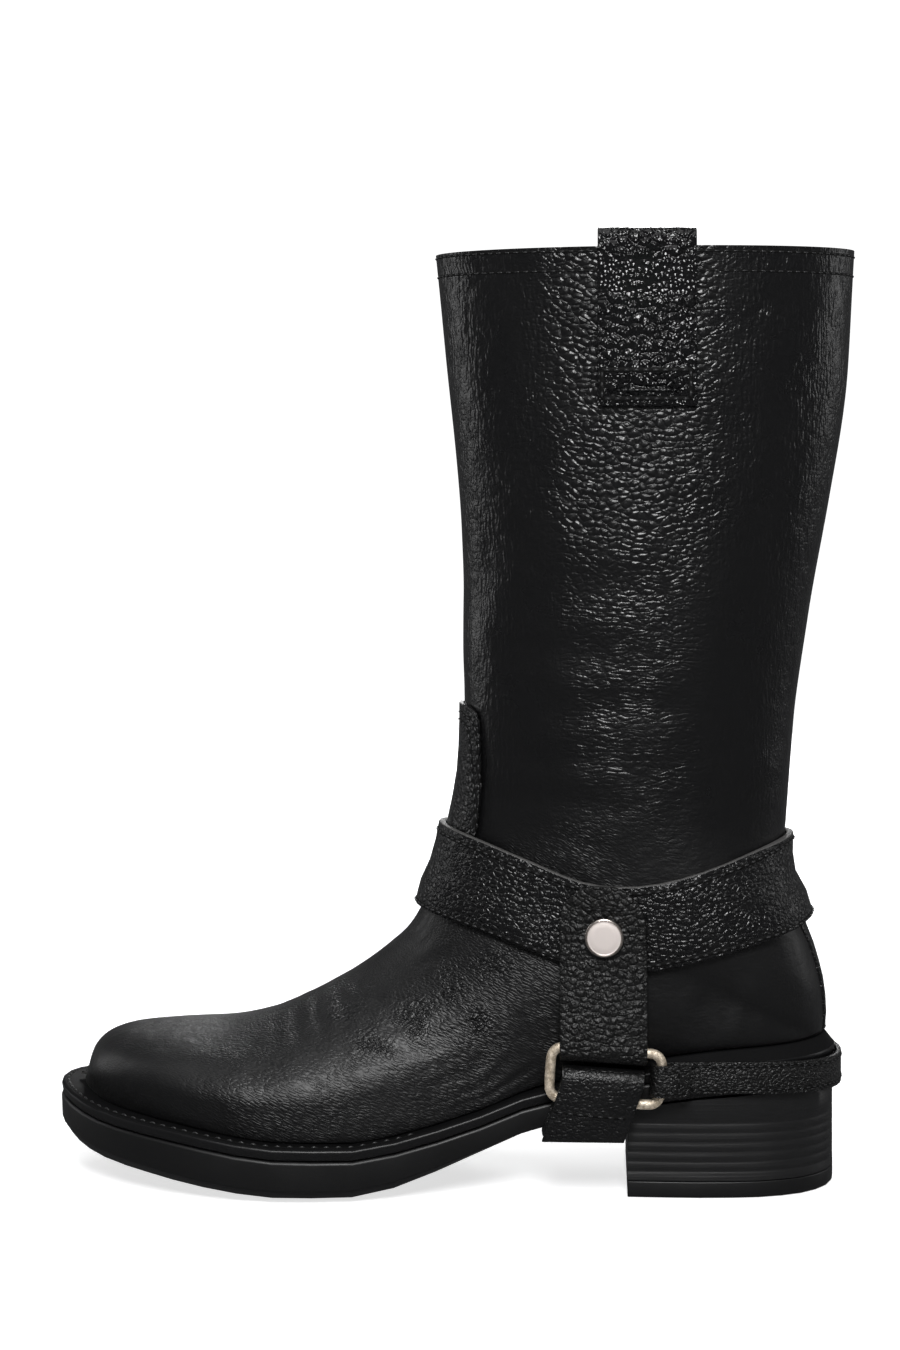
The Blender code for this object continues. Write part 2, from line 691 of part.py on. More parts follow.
def build_tongue(tree):
    """The vamp's upper end on the front of the shaft, with two round corners at its top."""
    length = TONGUE_TOP - STRAP_FRONT_HEIGHT + TONGUE_UNDER_STRAP
    drops = np.concatenate([np.linspace(0, TONGUE_CORNER, 4), np.linspace(TONGUE_CORNER, length, 7)[1:]])
    across = 7
    spots = []
    for drop in drops:
        half = TONGUE_WIDTH / 2 + TONGUE_FLARE / 2 * drop / length
        left = max(TONGUE_CORNER - drop, 0.0)
        half -= TONGUE_CORNER - math.sqrt(TONGUE_CORNER ** 2 - left ** 2)
        z = TONGUE_TOP - drop
        front = from_axis(tree, LEG_AXIS, 0.0, z)[0][0] - LEG_AXIS
        reach = half / front
        spots.append([from_axis(tree, LEG_AXIS, reach * share, z) for share in np.linspace(-1, 1, across)])
    slab("vamp_tongue", *lay(spots, DRAPE_GAP, OVERLAY), leather("upper_leather"))


def build_backstay(tree):
    foot = float(welt_seat(HEEL_BACK + float(ledge(math.pi)))) + 3 * GAP
    spots = []
    for share in np.linspace(0, 1, 9):
        z = foot + (STRAP_BACK_HEIGHT - BACKSTAY_UNDER_STRAP - foot) * share
        half = (BACKSTAY_FOOT_WIDTH + (BACKSTAY_WIDTH - BACKSTAY_FOOT_WIDTH) * share ** 1.5) / 2
        row = [hit(tree, (-LENGTH, half * place, z), (1, 0, 0)) for place in np.linspace(-1, 1, 7)]
        spots.append(row)
    slab("backstay", *lay(spots, DRAPE_GAP, OVERLAY), leather("upper_leather"))


def band(name, middle, thickness, finish):
    """A strap along a middle line: middle is rows of points across, and its thickness is to both sides."""
    middle = np.array(middle)
    along = np.gradient(middle, axis=0)
    across = np.gradient(middle, axis=1)
    normal = np.cross(along, across)
    normal /= np.linalg.norm(normal, axis=2)[:, :, None]
    half = normal * thickness / 2
    return slab(name, middle - half, middle + half, finish)


def ring_bar(dx, sign):
    """Height above the ring's centre of its upper (1) or lower (-1) bar, dx from the centre."""
    half = (RING_DEPTH - RING_BAR) / 2
    flat = (RING_LENGTH - RING_BAR) / 2 - RING_CORNER
    u = (dx + sign * half * math.sin(RING_TILT)) / math.cos(RING_TILT)
    over = max(abs(u) - flat, 0.0)
    v = half - RING_CORNER + math.sqrt(RING_CORNER ** 2 - over ** 2)
    return u * math.sin(RING_TILT) + sign * v * math.cos(RING_TILT)


def ring_rear(dz):
    """How far behind the ring's centre its rear bar is, dz above the centre."""
    half = (RING_LENGTH - RING_BAR) / 2
    flat = (RING_DEPTH - RING_BAR) / 2 - RING_CORNER
    v = (dz + half * math.sin(RING_TILT)) / math.cos(RING_TILT)
    over = max(abs(v) - flat, 0.0)
    u = half - RING_CORNER + math.sqrt(RING_CORNER ** 2 - over ** 2)
    return u * math.cos(RING_TILT) + v * math.sin(RING_TILT)


def side_edge(side, x):
    """How far the sole's edge is from the middle plane at x, on one side."""
    turn = side * math.acos(2 * (x - HEEL_BACK) / LENGTH - 1)
    return abs(float(edge(turn)[1]))


def ring_offset(side):
    """How far the ring's plane stands off the middle plane: sole edge, strap and half a bar."""
    reach = max(side_edge(side, RING_X + share * RING_LENGTH / 2) for share in (-1, 0, 1))
    return reach + ARCH_THICKNESS + 3 * GAP + RING_BAR / 2


def build_ring(side, name):
    """An oval ring of half-round bar, its long side level with the sole."""
    long_half = RING_LENGTH / 2 - RING_BAR / 2 - RING_CORNER
    tall_half = RING_DEPTH / 2 - RING_BAR / 2 - RING_CORNER
    corners = ((1, 1, 0), (-1, 1, 90), (-1, -1, 180), (1, -1, 270))
    loops = []
    for sign_x, sign_z, start in corners:
        for step in range(5):
            angle = math.radians(start + 90 * step / 4)
            way = np.array([math.cos(angle), 0.0, math.sin(angle)])
            middle = np.array([sign_x * long_half, 0.0, sign_z * tall_half]) + RING_CORNER * way
            loop = []
            for turn in range(8):
                around_bar = 2 * math.pi * turn / 8
                out = way * math.cos(around_bar) * RING_BAR / 2
                loop.append(middle + out + np.array([0, math.sin(around_bar) * RING_THICKNESS / 2, 0]))
            loops.append(loop)
    loops = np.array(loops)
    turned = loops.copy()
    turned[..., 0] = loops[..., 0] * math.cos(RING_TILT) - loops[..., 2] * math.sin(RING_TILT)
    turned[..., 2] = loops[..., 0] * math.sin(RING_TILT) + loops[..., 2] * math.cos(RING_TILT)
    turned += (RING_X, side * ring_offset(side), RING_HEIGHT)
    rings(name, turned, material("ring_metal", (0.72, 0.62, 0.47), 0.35, 1.0), capped=False)


def build_drop_strap(tree, side, name):
    """The strap over the ankle strap: round top end, down to the ring, round its upper bar and back up inside."""
    ring_y = ring_offset(side)
    loop_radius = RING_BAR / 2 + GAP * 1.6 + DROP_THICKNESS / 2
    across = 5
    top = STRAP_SIDE_HEIGHT + DROP_ABOVE_STRAP
    lift = DRAPE_GAP + STRAP_THICKNESS + GAP * 2 + DROP_THICKNESS / 2
    round_end = DROP_WIDTH / 2
    rounded = round_end * (1 - np.cos(np.linspace(math.pi / 12, math.pi / 2, 6)))
    drops = np.append(rounded, (round_end + DROP_STRAIGHT / 2, round_end + DROP_STRAIGHT))
    middle = []
    for drop in drops:
        left = max(round_end - drop, 0.0)
        half = math.sqrt(round_end ** 2 - left ** 2)
        row = []
        for share in np.linspace(-1, 1, across):
            x = DROP_X + share * half
            z = top - drop
            point, normal = from_side(tree, side, x, z)
            row.append(point + normal * lift)
        middle.append(row)
    last = [np.array(point) for point in middle[-1]]
    bars = [RING_HEIGHT + ring_bar(point[0] - RING_X, 1) for point in last]
    for share in (0.3, 0.6, 0.85):
        row = []
        for place, point in enumerate(last):
            y = abs(point[1]) + (ring_y + loop_radius - abs(point[1])) * share
            z = point[2] + (bars[place] - point[2]) * share
            row.append(np.array([point[0], side * y, z]))
        middle.append(row)
    for step in range(9):
        angle = -math.pi * step / 8
        row = []
        for place, point in enumerate(last):
            y = ring_y + loop_radius * math.cos(angle)
            z = bars[place] + loop_radius * math.sin(angle)
            row.append(np.array([point[0], side * y, z]))
        middle.append(row)
    for share in (0.5, 1.0):
        row = []
        for place, point in enumerate(last):
            y = ring_y - loop_radius + DROP_LEAN * share * share
            row.append(np.array([point[0], side * y, bars[place] + DROP_RETURN * share]))
        middle.append(row)
    band(name, middle, DROP_THICKNESS, leather("harness_leather"))


def build_rivet(tree, side, name):
    """A flat cap with a thin raised rim on the drop strap."""
    height = STRAP_SIDE_HEIGHT - RIVET_BELOW
    stack = DRAPE_GAP + STRAP_THICKNESS + GAP * 2 + DROP_THICKNESS + GAP * 1.5
    reach = RIVET_RADIUS * 0.9
    offsets = [(dx, dz) for dx in (-reach, 0, reach) for dz in (-reach, 0, reach)]
    seat = stack + max(abs(from_side(tree, side, DROP_X + dx, height + dz)[0][1]) for dx, dz in offsets)
    outline = ((1.0, 0.0), (1.0, 0.6), (0.92, 1.0), (0.82, 0.85))
    loops = []
    for radius, lift in outline:
        loop = []
        for step in range(24):
            angle = 2 * math.pi * step / 24
            x = DROP_X + RIVET_RADIUS * radius * math.cos(angle)
            z = height + RIVET_RADIUS * radius * math.sin(angle)
            loop.append((x, side * (seat + RIVET_THICKNESS * lift), z))
        loops.append(loop)
    rings(name, loops, material("rivet_metal", (0.7, 0.68, 0.64), 0.3, 1.0))


def build_arch_strap():
    """The strap from ring to ring under the waist: its ends rise inside the rings and fold over the lower bars."""
    loop_radius = RING_BAR / 2 + GAP * 1.6 + ARCH_THICKNESS / 2
    across = 4
    shares = np.linspace(-1, 1, across)
    half = ARCH_WIDTH / 2
    ring_xs = ARCH_RING_X + shares * half
    under_xs = ARCH_X + shares * half
    paths = {}
    for side in (1, -1):
        ring_y = ring_offset(side)
        rows = []
        foot = float(underside(ARCH_X + half)) - ARCH_THICKNESS - SEAT_GAP * 2
        bars = [RING_HEIGHT + ring_bar(x - RING_X, -1) + ARCH_LOOP_RISE for x in ring_xs]
        for share in (0.0, 0.35, 0.7, 0.92):
            row = []
            for place in range(across):
                lean = 1 - share
                x = ring_xs[place] + (under_xs[place] - ring_xs[place]) * lean
                y = ring_y + loop_radius - ARCH_LEAN * lean
                row.append((x, side * y, foot + (bars[place] - foot) * share))
            rows.append(row)
        for step in range(9):
            angle = math.pi * step / 8
            row = []
            for place in range(across):
                y = ring_y + loop_radius * math.cos(angle)
                row.append((ring_xs[place], side * y, bars[place] + loop_radius * math.sin(angle)))
            rows.append(row)
        inner_y = ring_y - loop_radius
        for share in (0.4, 0.75):
            row = []
            for place in range(across):
                x = ring_xs[place] + (under_xs[place] - ring_xs[place]) * share
                low = float(underside(under_xs[place]))
                row.append((x, side * inner_y, bars[place] + (low - bars[place]) * share))
            rows.append(row)
        turn_radius = ARCH_THICKNESS * 1.2
        for step in range(1, 5):
            angle = math.pi / 2 * step / 4
            row = []
            for place in range(across):
                low = float(underside(under_xs[place])) - SEAT_GAP * 2 - ARCH_THICKNESS / 2
                y = inner_y - turn_radius * (1 - math.cos(angle))
                row.append((under_xs[place], side * y, low + turn_radius * (1 - math.sin(angle))))
            rows.append(row)
        paths[side] = rows
    lateral, medial = paths[1], paths[-1]
    middle = lateral
    start, end = np.array(lateral[-1]), np.array(medial[-1])
    for share in np.linspace(0, 1, 7)[1:-1]:
        middle = middle + [[tuple(point) for point in start + (end - start) * share]]
    middle = middle + medial[::-1]
    band("arch_strap", middle, ARCH_THICKNESS, leather("harness_leather"))


def build_heel_strap():
    """The narrow strap round the heel, its ends through the rings, round their rear bars and back outside."""
    loop_radius = RING_BAR / 2 + GAP * 1.5 + HEEL_STRAP_THICKNESS / 2
    half = HEEL_STRAP_WIDTH / 2
    ring_z = RING_HEIGHT - (RING_LENGTH - RING_BAR) / 2 * math.sin(RING_TILT)
    strips = []
    for rise in (-half, 0.0, half):
        bar_x = RING_X - ring_rear(ring_z + rise - RING_HEIGHT)
        ends = {}
        for side in (1, -1):
            ring_y = ring_offset(side)
            line = [
                (bar_x - HEEL_STRAP_RETURN, side * (ring_y + HEEL_STRAP_LEAN)),
                (bar_x - HEEL_STRAP_RETURN / 2, side * (ring_y + loop_radius - HEEL_STRAP_LEAN)),
            ]
            for step in range(7):
                angle = math.pi / 2 - math.pi * step / 6
                bar_y = ring_y + loop_radius * math.sin(angle)
                line.append((bar_x + loop_radius * math.cos(angle), side * bar_y))
            line.append((bar_x - HEEL_STRAP_RUN / 2, side * (ring_y - loop_radius)))
            ends[side] = [(x, y, ring_z + rise) for x, y in line]
        start_turn = math.acos(2 * (bar_x - HEEL_STRAP_RUN - HEEL_BACK) / LENGTH - 1)
        turn = np.linspace(start_turn, 2 * math.pi - start_turn, 29)
        x, y = edge(wrapped(turn), -(2 * GAP + HEEL_STRAP_THICKNESS / 2))
        way_round = (turn - start_turn) / (math.pi - start_turn)
        drop = (ring_z - HEEL_STRAP_HEIGHT) * np.sin(way_round * math.pi / 2) ** 2
        strips.append(ends[1] + list(zip(x, y, ring_z + rise - drop)) + ends[-1][::-1])
    middle = np.array(strips).transpose(1, 0, 2)
    band("heel_strap", middle, HEEL_STRAP_THICKNESS, leather("harness_leather"))


def build_pull_loop(tree, side, name):
    """A strap folded over the collar, its legs down the outside and the inside of the shaft."""
    across = 5
    out = GAP + LOOP_THICKNESS / 2
    inside = -(WALL + INSIDE_GAP + LOOP_THICKNESS / 2)
    edge_z = BOOT_HEIGHT - GAP
    drops = np.linspace(1, 0, 6) * LOOP_DROP
    middle = []
    for share in np.linspace(-1, 1, across):
        x = LOOP_X + share * LOOP_WIDTH / 2
        strip = []
        for drop in drops:
            point, normal = from_side(tree, side, x, edge_z - LOOP_THICKNESS - drop)
            strip.append(point + normal * out)
        point, normal = from_side(tree, side, x, edge_z - LOOP_THICKNESS)
        centre_y = point[1] + side * (out + inside) / 2
        spread = (out - inside) / 2
        for step in range(9):
            angle = math.pi * step / 8
            rise = (LOOP_RISE - LOOP_THICKNESS / 2) * math.sin(angle) ** 0.7 if 0 < step < 8 else 0.0
            strip.append(np.array([x, centre_y + side * spread * math.cos(angle), edge_z + rise]))
        for drop in drops[::-1]:
            point, normal = from_side(tree, side, x, edge_z - LOOP_THICKNESS - drop)
            strip.append(point + normal * inside)
        middle.append(strip)
    middle = np.array(middle).transpose(1, 0, 2)
    band(name, middle, LOOP_THICKNESS, leather("strap_leather"))


def main():
    for old in list(bpy.data.objects):
        bpy.data.objects.remove(old, do_unlink=True)
    build_outsole()
    build_welt()
    build_insole()
    build_heel()
    build_upper()
    tree = skin_tree()
    build_tongue(tree)
    build_backstay(tree)
    build_ankle_strap(tree)
    build_arch_strap()
    build_heel_strap()
    for side, word in ((1, "lateral"), (-1, "medial")):
        build_pull_loop(tree, side, "pull_loop_" + word)
        build_drop_strap(tree, side, "drop_strap_" + word)
        build_rivet(tree, side, "rivet_" + word)
        build_ring(side, "ring_" + word)


main()
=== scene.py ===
import math

import bmesh
import bpy
import numpy as np
from mathutils import Matrix, Vector
from mathutils.bvhtree import BVHTree


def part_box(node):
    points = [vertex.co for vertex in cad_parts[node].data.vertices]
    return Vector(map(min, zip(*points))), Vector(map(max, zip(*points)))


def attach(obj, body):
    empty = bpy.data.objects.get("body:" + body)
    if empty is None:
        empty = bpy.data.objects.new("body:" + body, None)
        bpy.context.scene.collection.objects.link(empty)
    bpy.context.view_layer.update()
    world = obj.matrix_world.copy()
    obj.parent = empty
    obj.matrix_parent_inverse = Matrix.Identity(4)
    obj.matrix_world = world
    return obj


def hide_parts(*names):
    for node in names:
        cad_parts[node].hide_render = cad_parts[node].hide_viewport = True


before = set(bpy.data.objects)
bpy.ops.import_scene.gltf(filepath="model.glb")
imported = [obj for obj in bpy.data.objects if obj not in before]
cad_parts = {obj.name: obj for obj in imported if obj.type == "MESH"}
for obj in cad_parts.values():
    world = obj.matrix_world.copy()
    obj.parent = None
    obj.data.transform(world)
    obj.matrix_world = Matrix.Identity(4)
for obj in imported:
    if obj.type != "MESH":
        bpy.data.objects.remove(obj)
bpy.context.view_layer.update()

# Looks of the biker boot. +X is the toe, +Y the outer side, +Z up, in metres, as in the CAD frame.
MM = 0.001

# Sizes of the boot that the skin of the upper is built from
GAP = 0.0003
SEAT_GAP = 0.0004
LENGTH = 0.269
BALL_WIDTH = 0.098
HEEL_BACK = -0.0358
HEEL_HEIGHT = 0.036
TOE_SPRING = 0.013
OUTSOLE = 0.0142
WELT = 0.004
LEDGE = 0.006
WALL = 0.0024
TOE_BOX = 0.0302
BOOT_HEIGHT = 0.318
LEG_AXIS = 0.0297
STRAP_AXIS = 0.0387
COLLAR_DEPTH = 0.144
COLLAR_WIDTH = 0.086

# How fine the skin is: rows from one section to the next, and columns below and above its widest place
ROW_STEPS = 12
LOW_COLUMNS = 28
HIGH_COLUMNS = 42

# Rows over which the sections of foot and leg are eased into each other, and how often
HEEL_EASE_ROWS = 14
HEEL_EASE_ROUNDS = 60

# Outline of the sole from heel to toe
OUTLINE_COLUMNS = ("along", "lateral", "medial", "ledge")
OUTLINE = (
    (0.000, 0.000, 0.000, 0.67),
    (0.020, 0.178, -0.174, 0.67),
    (0.060, 0.272, -0.266, 0.67),
    (0.120, 0.322, -0.314, 0.67),
    (0.200, 0.336, -0.322, 0.65),
    (0.280, 0.333, -0.306, 0.60),
    (0.360, 0.340, -0.290, 0.60),
    (0.440, 0.372, -0.300, 0.66),
    (0.520, 0.425, -0.352, 0.82),
    (0.600, 0.472, -0.418, 0.97),
    (0.660, 0.494, -0.462, 1.00),
    (0.720, 0.498, -0.490, 1.02),
    (0.780, 0.476, -0.496, 1.06),
    (0.840, 0.430, -0.478, 1.12),
    (0.900, 0.348, -0.430, 1.22),
    (0.950, 0.242, -0.354, 1.32),
    (0.980, 0.132, -0.266, 1.40),
    (1.000, -0.060, -0.060, 1.42),
)

# Side view of the sole
PROFILE_COLUMNS = ("along", "heel", "spring", "thick", "rise")
PROFILE = (
    (0.000, 1.000, 0.000, 0.50, 0.90),
    (0.137, 0.950, 0.000, 0.50, 0.85),
    (0.212, 0.889, 0.000, 0.51, 0.75),
    (0.276, 0.800, 0.000, 0.54, 0.55),
    (0.332, 0.711, 0.000, 0.55, 0.35),
    (0.385, 0.611, 0.000, 0.58, 0.22),
    (0.433, 0.467, 0.000, 0.60, 0.15),
    (0.478, 0.328, 0.000, 0.68, 0.12),
    (0.527, 0.172, 0.000, 0.83, 0.10),
    (0.572, 0.055, 0.000, 0.94, 0.10),
    (0.610, 0.000, 0.000, 1.00, 0.10),
    (0.692, 0.000, 0.000, 1.02, 0.10),
    (0.749, 0.000, 0.090, 1.04, 0.10),
    (0.812, 0.000, 0.260, 1.06, 0.10),
    (0.863, 0.000, 0.420, 1.03, 0.10),
    (0.925, 0.000, 0.600, 1.00, 0.10),
    (0.966, 0.000, 0.800, 0.98, 0.10),
    (1.000, 0.000, 1.000, 0.95, 0.10),
)

# Sections of the upper over the foot
FOOT_COLUMNS = ("turn", "along", "box", "leg", "shift", "bulge", "girth", "wide", "low", "high")
FOOT = (
    (0.00, 0.968, 0.37, 0.000, -0.060, 0.000, 0.00, 0.42, 2.0, 2.0),
    (0.05, 0.962, 0.58, 0.000, -0.060, 0.008, 0.00, 0.42, 2.0, 2.0),
    (0.10, 0.956, 0.74, 0.000, -0.062, 0.014, 0.00, 0.42, 2.0, 2.0),
    (0.15, 0.941, 0.87, 0.000, -0.064, 0.018, 0.00, 0.40, 2.0, 2.1),
    (0.21, 0.908, 0.96, 0.000, -0.068, 0.021, 0.00, 0.38, 2.0, 2.2),
    (0.27, 0.852, 1.00, 0.000, -0.070, 0.024, 0.00, 0.36, 2.0, 2.3),
    (0.33, 0.784, 1.00, 0.005, -0.070, 0.026, 0.00, 0.34, 2.0, 2.2),
    (0.39, 0.724, 1.00, 0.019, -0.068, 0.028, 0.00, 0.32, 2.0, 2.1),
    (0.45, 0.668, 1.00, 0.045, -0.062, 0.030, 0.00, 0.31, 2.0, 2.0),
    (0.51, 0.619, 1.00, 0.073, -0.052, 0.034, 0.00, 0.31, 1.9, 1.95),
    (0.57, 0.580, 1.00, 0.101, -0.040, 0.038, 0.30, 0.33, 1.8, 1.95),
    (0.64, 0.546, 1.00, 0.132, -0.026, 0.042, 0.335, 0.36, 1.7, 2.0),
    (0.72, 0.522, 1.00, 0.173, -0.014, 0.046, 0.350, 0.40, 1.6, 2.05),
    (0.81, 0.501, 1.00, 0.218, -0.006, 0.048, 0.359, 0.44, 1.6, 2.1),
    (0.90, 0.492, 1.00, 0.254, -0.002, 0.048, 0.366, 0.46, 1.7, 2.1),
    (1.00, 0.487, 1.00, 0.284, 0.000, 0.040, 0.371, 0.47, 2.4, 2.1),
)

# Sections of the leg
LEG_COLUMNS = ("back", "back_up", "front", "front_up", "girth", "wide", "low", "high")
LEG = (
    (0.426, 0.042, 0.440, 0.316, 0.430, 0.47, 2.4, 2.1),
    (0.402, 0.102, 0.434, 0.353, 0.434, 0.48, 2.3, 2.1),
    (0.366, 0.155, 0.430, 0.391, 0.437, 0.48, 2.2, 2.1),
    (0.335, 0.230, 0.430, 0.439, 0.441, 0.48, 2.1, 2.1),
    (0.342, 0.297, 0.432, 0.495, 0.447, 0.48, 2.1, 2.1),
    (0.354, 0.398, 0.432, 0.559, 0.455, 0.48, 2.1, 2.1),
    (0.392, 0.532, 0.439, 0.641, 0.466, 0.49, 2.1, 2.1),
    (0.441, 0.678, 0.453, 0.738, 0.480, 0.50, 2.1, 2.1),
    (0.483, 0.839, 0.476, 0.869, 0.493, 0.50, 2.1, 2.1),
    (0.501, 1.000, 0.500, 0.996, 0.500, 0.50, 2.1, 2.1),
)

# Creases of the upper: x and z in mm along the outer side from the first point to the last, then how wide and
# how deep the trough is in mm, and the ridge beside it as a share of the depth
CREASES = (
    (((93, 30), (82, 34), (72, 40), (65, 46)), 1.2, 0.26, 0.5),
    (((97, 34), (86, 36), (77, 44), (71, 51)), 1.5, 0.20, 0.4),
    (((86, 27), (78, 30), (70, 36), (66, 41)), 1.0, 0.24, 0.5),
    (((104, 36), (92, 41), (85, 44), (80, 52)), 2.0, 0.16, 0.4),
    (((107, 96), (111, 88), (117, 84), (123, 82)), 1.2, 0.22, 0.5),
    (((102, 95), (106, 86), (114, 81), (121, 77)), 1.3, 0.24, 0.5),
    (((98, 92), (103, 83), (108, 79), (115, 75)), 1.5, 0.20, 0.5),
    (((92, 88), (96, 80), (103, 76), (109, 72)), 1.7, 0.18, 0.5),
    (((103, 56), (95, 60), (88, 63), (80, 67)), 1.4, 0.35, 0.7),
    (((107, 52), (98, 54), (89, 58), (82, 63)), 1.6, 0.35, 0.7),
    (((112, 48), (103, 49), (95, 52), (88, 56)), 1.7, 0.3, 0.7),
    (((121, 55), (113, 56), (106, 60), (101, 65)), 1.5, 0.3, 0.7),
    (((126, 64), (118, 63), (111, 66)), 1.8, 0.25, 0.7),
    (((132, 57), (125, 56), (117, 58)), 1.8, 0.25, 0.7),
    (((144, 62), (140, 56), (137, 49)), 2.0, 0.25, 0.7),
    (((152, 60), (148, 54), (146, 48)), 2.2, 0.22, 0.7),
    (((136, 66), (132, 60), (129, 53)), 2.0, 0.22, 0.7),
    (((14, 68), (6, 64), (-2, 62)), 11.0, 0.9, 0.0),
    (((22, 76), (10, 74), (-4, 77)), 7.0, 0.5, 0.0),
    (((72, 112), (58, 106), (44, 104)), 4.0, 0.4, 0.5),
    (((86, 136), (70, 132), (50, 133), (30, 130)), 4.5, 0.35, 0.5),
    (((80, 148), (62, 146), (44, 148)), 4.0, 0.3, 0.5),
    (((74, 166), (54, 163), (30, 165), (8, 162)), 5.0, 0.35, 0.5),
    (((86, 186), (62, 182), (36, 184)), 5.0, 0.3, 0.5),
    (((70, 206), (44, 203), (14, 206)), 6.0, 0.3, 0.5),
    (((12, 128), (4, 142), (-2, 158)), 4.0, 0.3, 0.5),
    (((88, 196), (82, 214), (84, 236)), 5.0, 0.3, 0.5),
    (((-8, 214), (-12, 232), (-18, 250)), 5.0, 0.3, 0.5),
)

# Patches of fine crackle on the vamp: x and z in mm of the middle on the outer side, and the radius
CRACKLE = ((107, 59, 9), (121, 51, 8), (96, 69, 8), (82, 76, 8), (70, 80, 7), (86, 58, 6), (132, 60, 8))

# Where the finish of the skin changes, as (nothing yet, in full): x or z in metres, or an angle round the leg
LEG_ZONE = (0.10, 0.14)
LOW_LEG_ZONE = (0.240, 0.165)
TOE_ZONE = (0.150, 0.185)
HEEL_ZONE = (0.045, 0.025)
FRONT_ZONE = (1.15, 0.75)
BACK_ZONE = (2.0, 2.45)
LEG_MIDDLE = 0.036
SKIN_NUMBERS = ("pebble", "upright", "depth", "fine", "crackle", "vamp", "foot")

# Slack of the shaft: its loose folds fade in over the ankle and out under the collar, and keep this depth
FOLDS_BEGIN = (0.11, 0.15)
FOLDS_END = (0.315, 0.27)
FOLD_DEPTH = 0.00035

# Creases and folds stop short of the welt and of the collar
WELT_CLEAR = (0.001, 0.006)
COLLAR_CLEAR = (0.0, 0.004)

# Rays that find a surface start this far off the boot's middle
OFF = 0.2

# The two sides of the boot, as the CAD nodes name them
SIDES = (("lateral", 1), ("medial", -1))

# How far edges are rounded: straps and welt, thin straps, outsole. How much of the heel's grooves is filled,
# how thick the backstay is, and between which heights a pull loop's grain is pressed flat
EDGE_ROUND = 0.0005
THIN_EDGE_ROUND = 0.0004
SOLE_ROUND = 0.0006
GROOVES_FILLED = 0.35
BACKSTAY_THICK = 0.0011
LOOP_PRESSED = (0.3008, 0.3136)

# Section of the strip of painted shade under a row of stitches, which stands in for a groove's shade: place
# across in thread thicknesses, and height in mm
SHADE_STRIP = ((-1.0, -0.12), (-0.8, 0.07), (0.8, 0.07), (1.0, -0.12))

# Rings of one stitch: place along its half length, girth and height as shares of the thread's thickness
STITCH = ((-1.0, 0.25, -0.45), (-0.55, 0.85, 0.15), (0.0, 1.0, 0.35), (0.55, 0.85, 0.15), (1.0, 0.25, -0.45))
STITCH_SIDES = 6
STITCH_REACH = 0.0004

# Stitch rows on the outer side, mirrored on the inner side: x and z in mm
TONGUE_ROWS = (((94.0, 160.0), (89.0, 157.8), (87.2, 155.0), (86.4, 144.4), (85.0, 130.9), (84.3, 119.0)),
               ((94.0, 157.4), (91.0, 155.8), (89.6, 153.0), (88.7, 144.4), (87.3, 130.9), (86.6, 119.0)))
LOOP_BOX = ((44.3, 276.3), (15.0, 276.3), (15.0, 266.8), (44.3, 266.8), (44.3, 276.3))
LOOP_FOLD = ((42.5, 269.6), (17.0, 269.6))
DROP_ROW = ((50.3, 97.2), (37.4, 97.4))
ARCH_ROW = ((61.0, 30.8), (48.3, 29.4), (36.5, 28.6))
HEEL_STRAP_END = ((19.0, 46.0), (19.0, 36.5))

# The rivet's cap from its middle to its rim as shares of its radius and height, and the step of this list
# from which it has the rim's finish
RIVET_PROFILE = ((0.0, 0.80), (0.5, 0.82), (0.76, 0.80), (0.82, 0.72), (0.86, 0.78), (0.90, 1.0),
                 (0.95, 0.98), (0.99, 0.80), (1.0, 0.5), (1.0, 0.0))
RIVET_RIM_FROM = 3
RIVET_HEIGHT = 0.0014
RIVET_SIDES = 56

# Stitch rows that follow an edge, in metres: how far below the collar, off the ankle strap's middle, inside
# the backstay's and the heel strap's edges, and inside the sole's outline in front of the waist
COLLAR_ROWS = (0.0022, 0.0087)
STRAP_ROWS = (-0.0123, 0.0123)
NARROW_INSET = 0.0014
HEEL_STRAP_ZONE = (0.030, 0.052)
HEEL_STRAP_RUN = 0.030
WELT_INSET = 0.0024
WELT_SEWN_FROM = 0.105
WELT_TURN = 1.8

# Studio: the glowing floor, whose glow is painted light, and the room, in metres, and the lights as
# (name, place, aim, size, power in watts)
STUDIO_X = 0.1
TABLE_RADIUS = 1.5
TABLE_BELOW = 0.0001
ROOM_RADIUS = 6.0
LIGHTS = (
    ("key_soft_box", (0.03, 1.15, 0.96), (0.03, 0, 0.18), (0.44, 0.50), 16),
    ("back_soft_box", (0.06, -1.30, 0.75), (0.03, 0, 0.15), (0.50, 0.50), 6.5),
    ("strip_left", (1.25, -0.40, 0.55), (0.1, 0, 0.12), (0.30, 1.1), 2.2),
    ("strip_right", (-1.25, -0.40, 0.6), (0.0, 0, 0.15), (0.30, 1.1), 2.2),
    ("top_light", (0.1, 0.1, 1.9), (0.08, 0, 0.0), (1.8, 1.4), 8),
)

# Camera: distance and height in metres, the x that it faces and its turn, one pixel's size at the boot, and
# the rows of the picture in all and down to the floor
CAMERA_FAR = 0.95
CAMERA_HIGH = 0.25
CAMERA_X = 0.0967
CAMERA_TURN = 0.052
PIXEL = 0.000345
PHOTO_ROWS = 1350
GROUND_ROW = 1174


def column(table, columns, name):
    """One column of a table as numbers."""
    return np.array([row[columns.index(name)] for row in table])


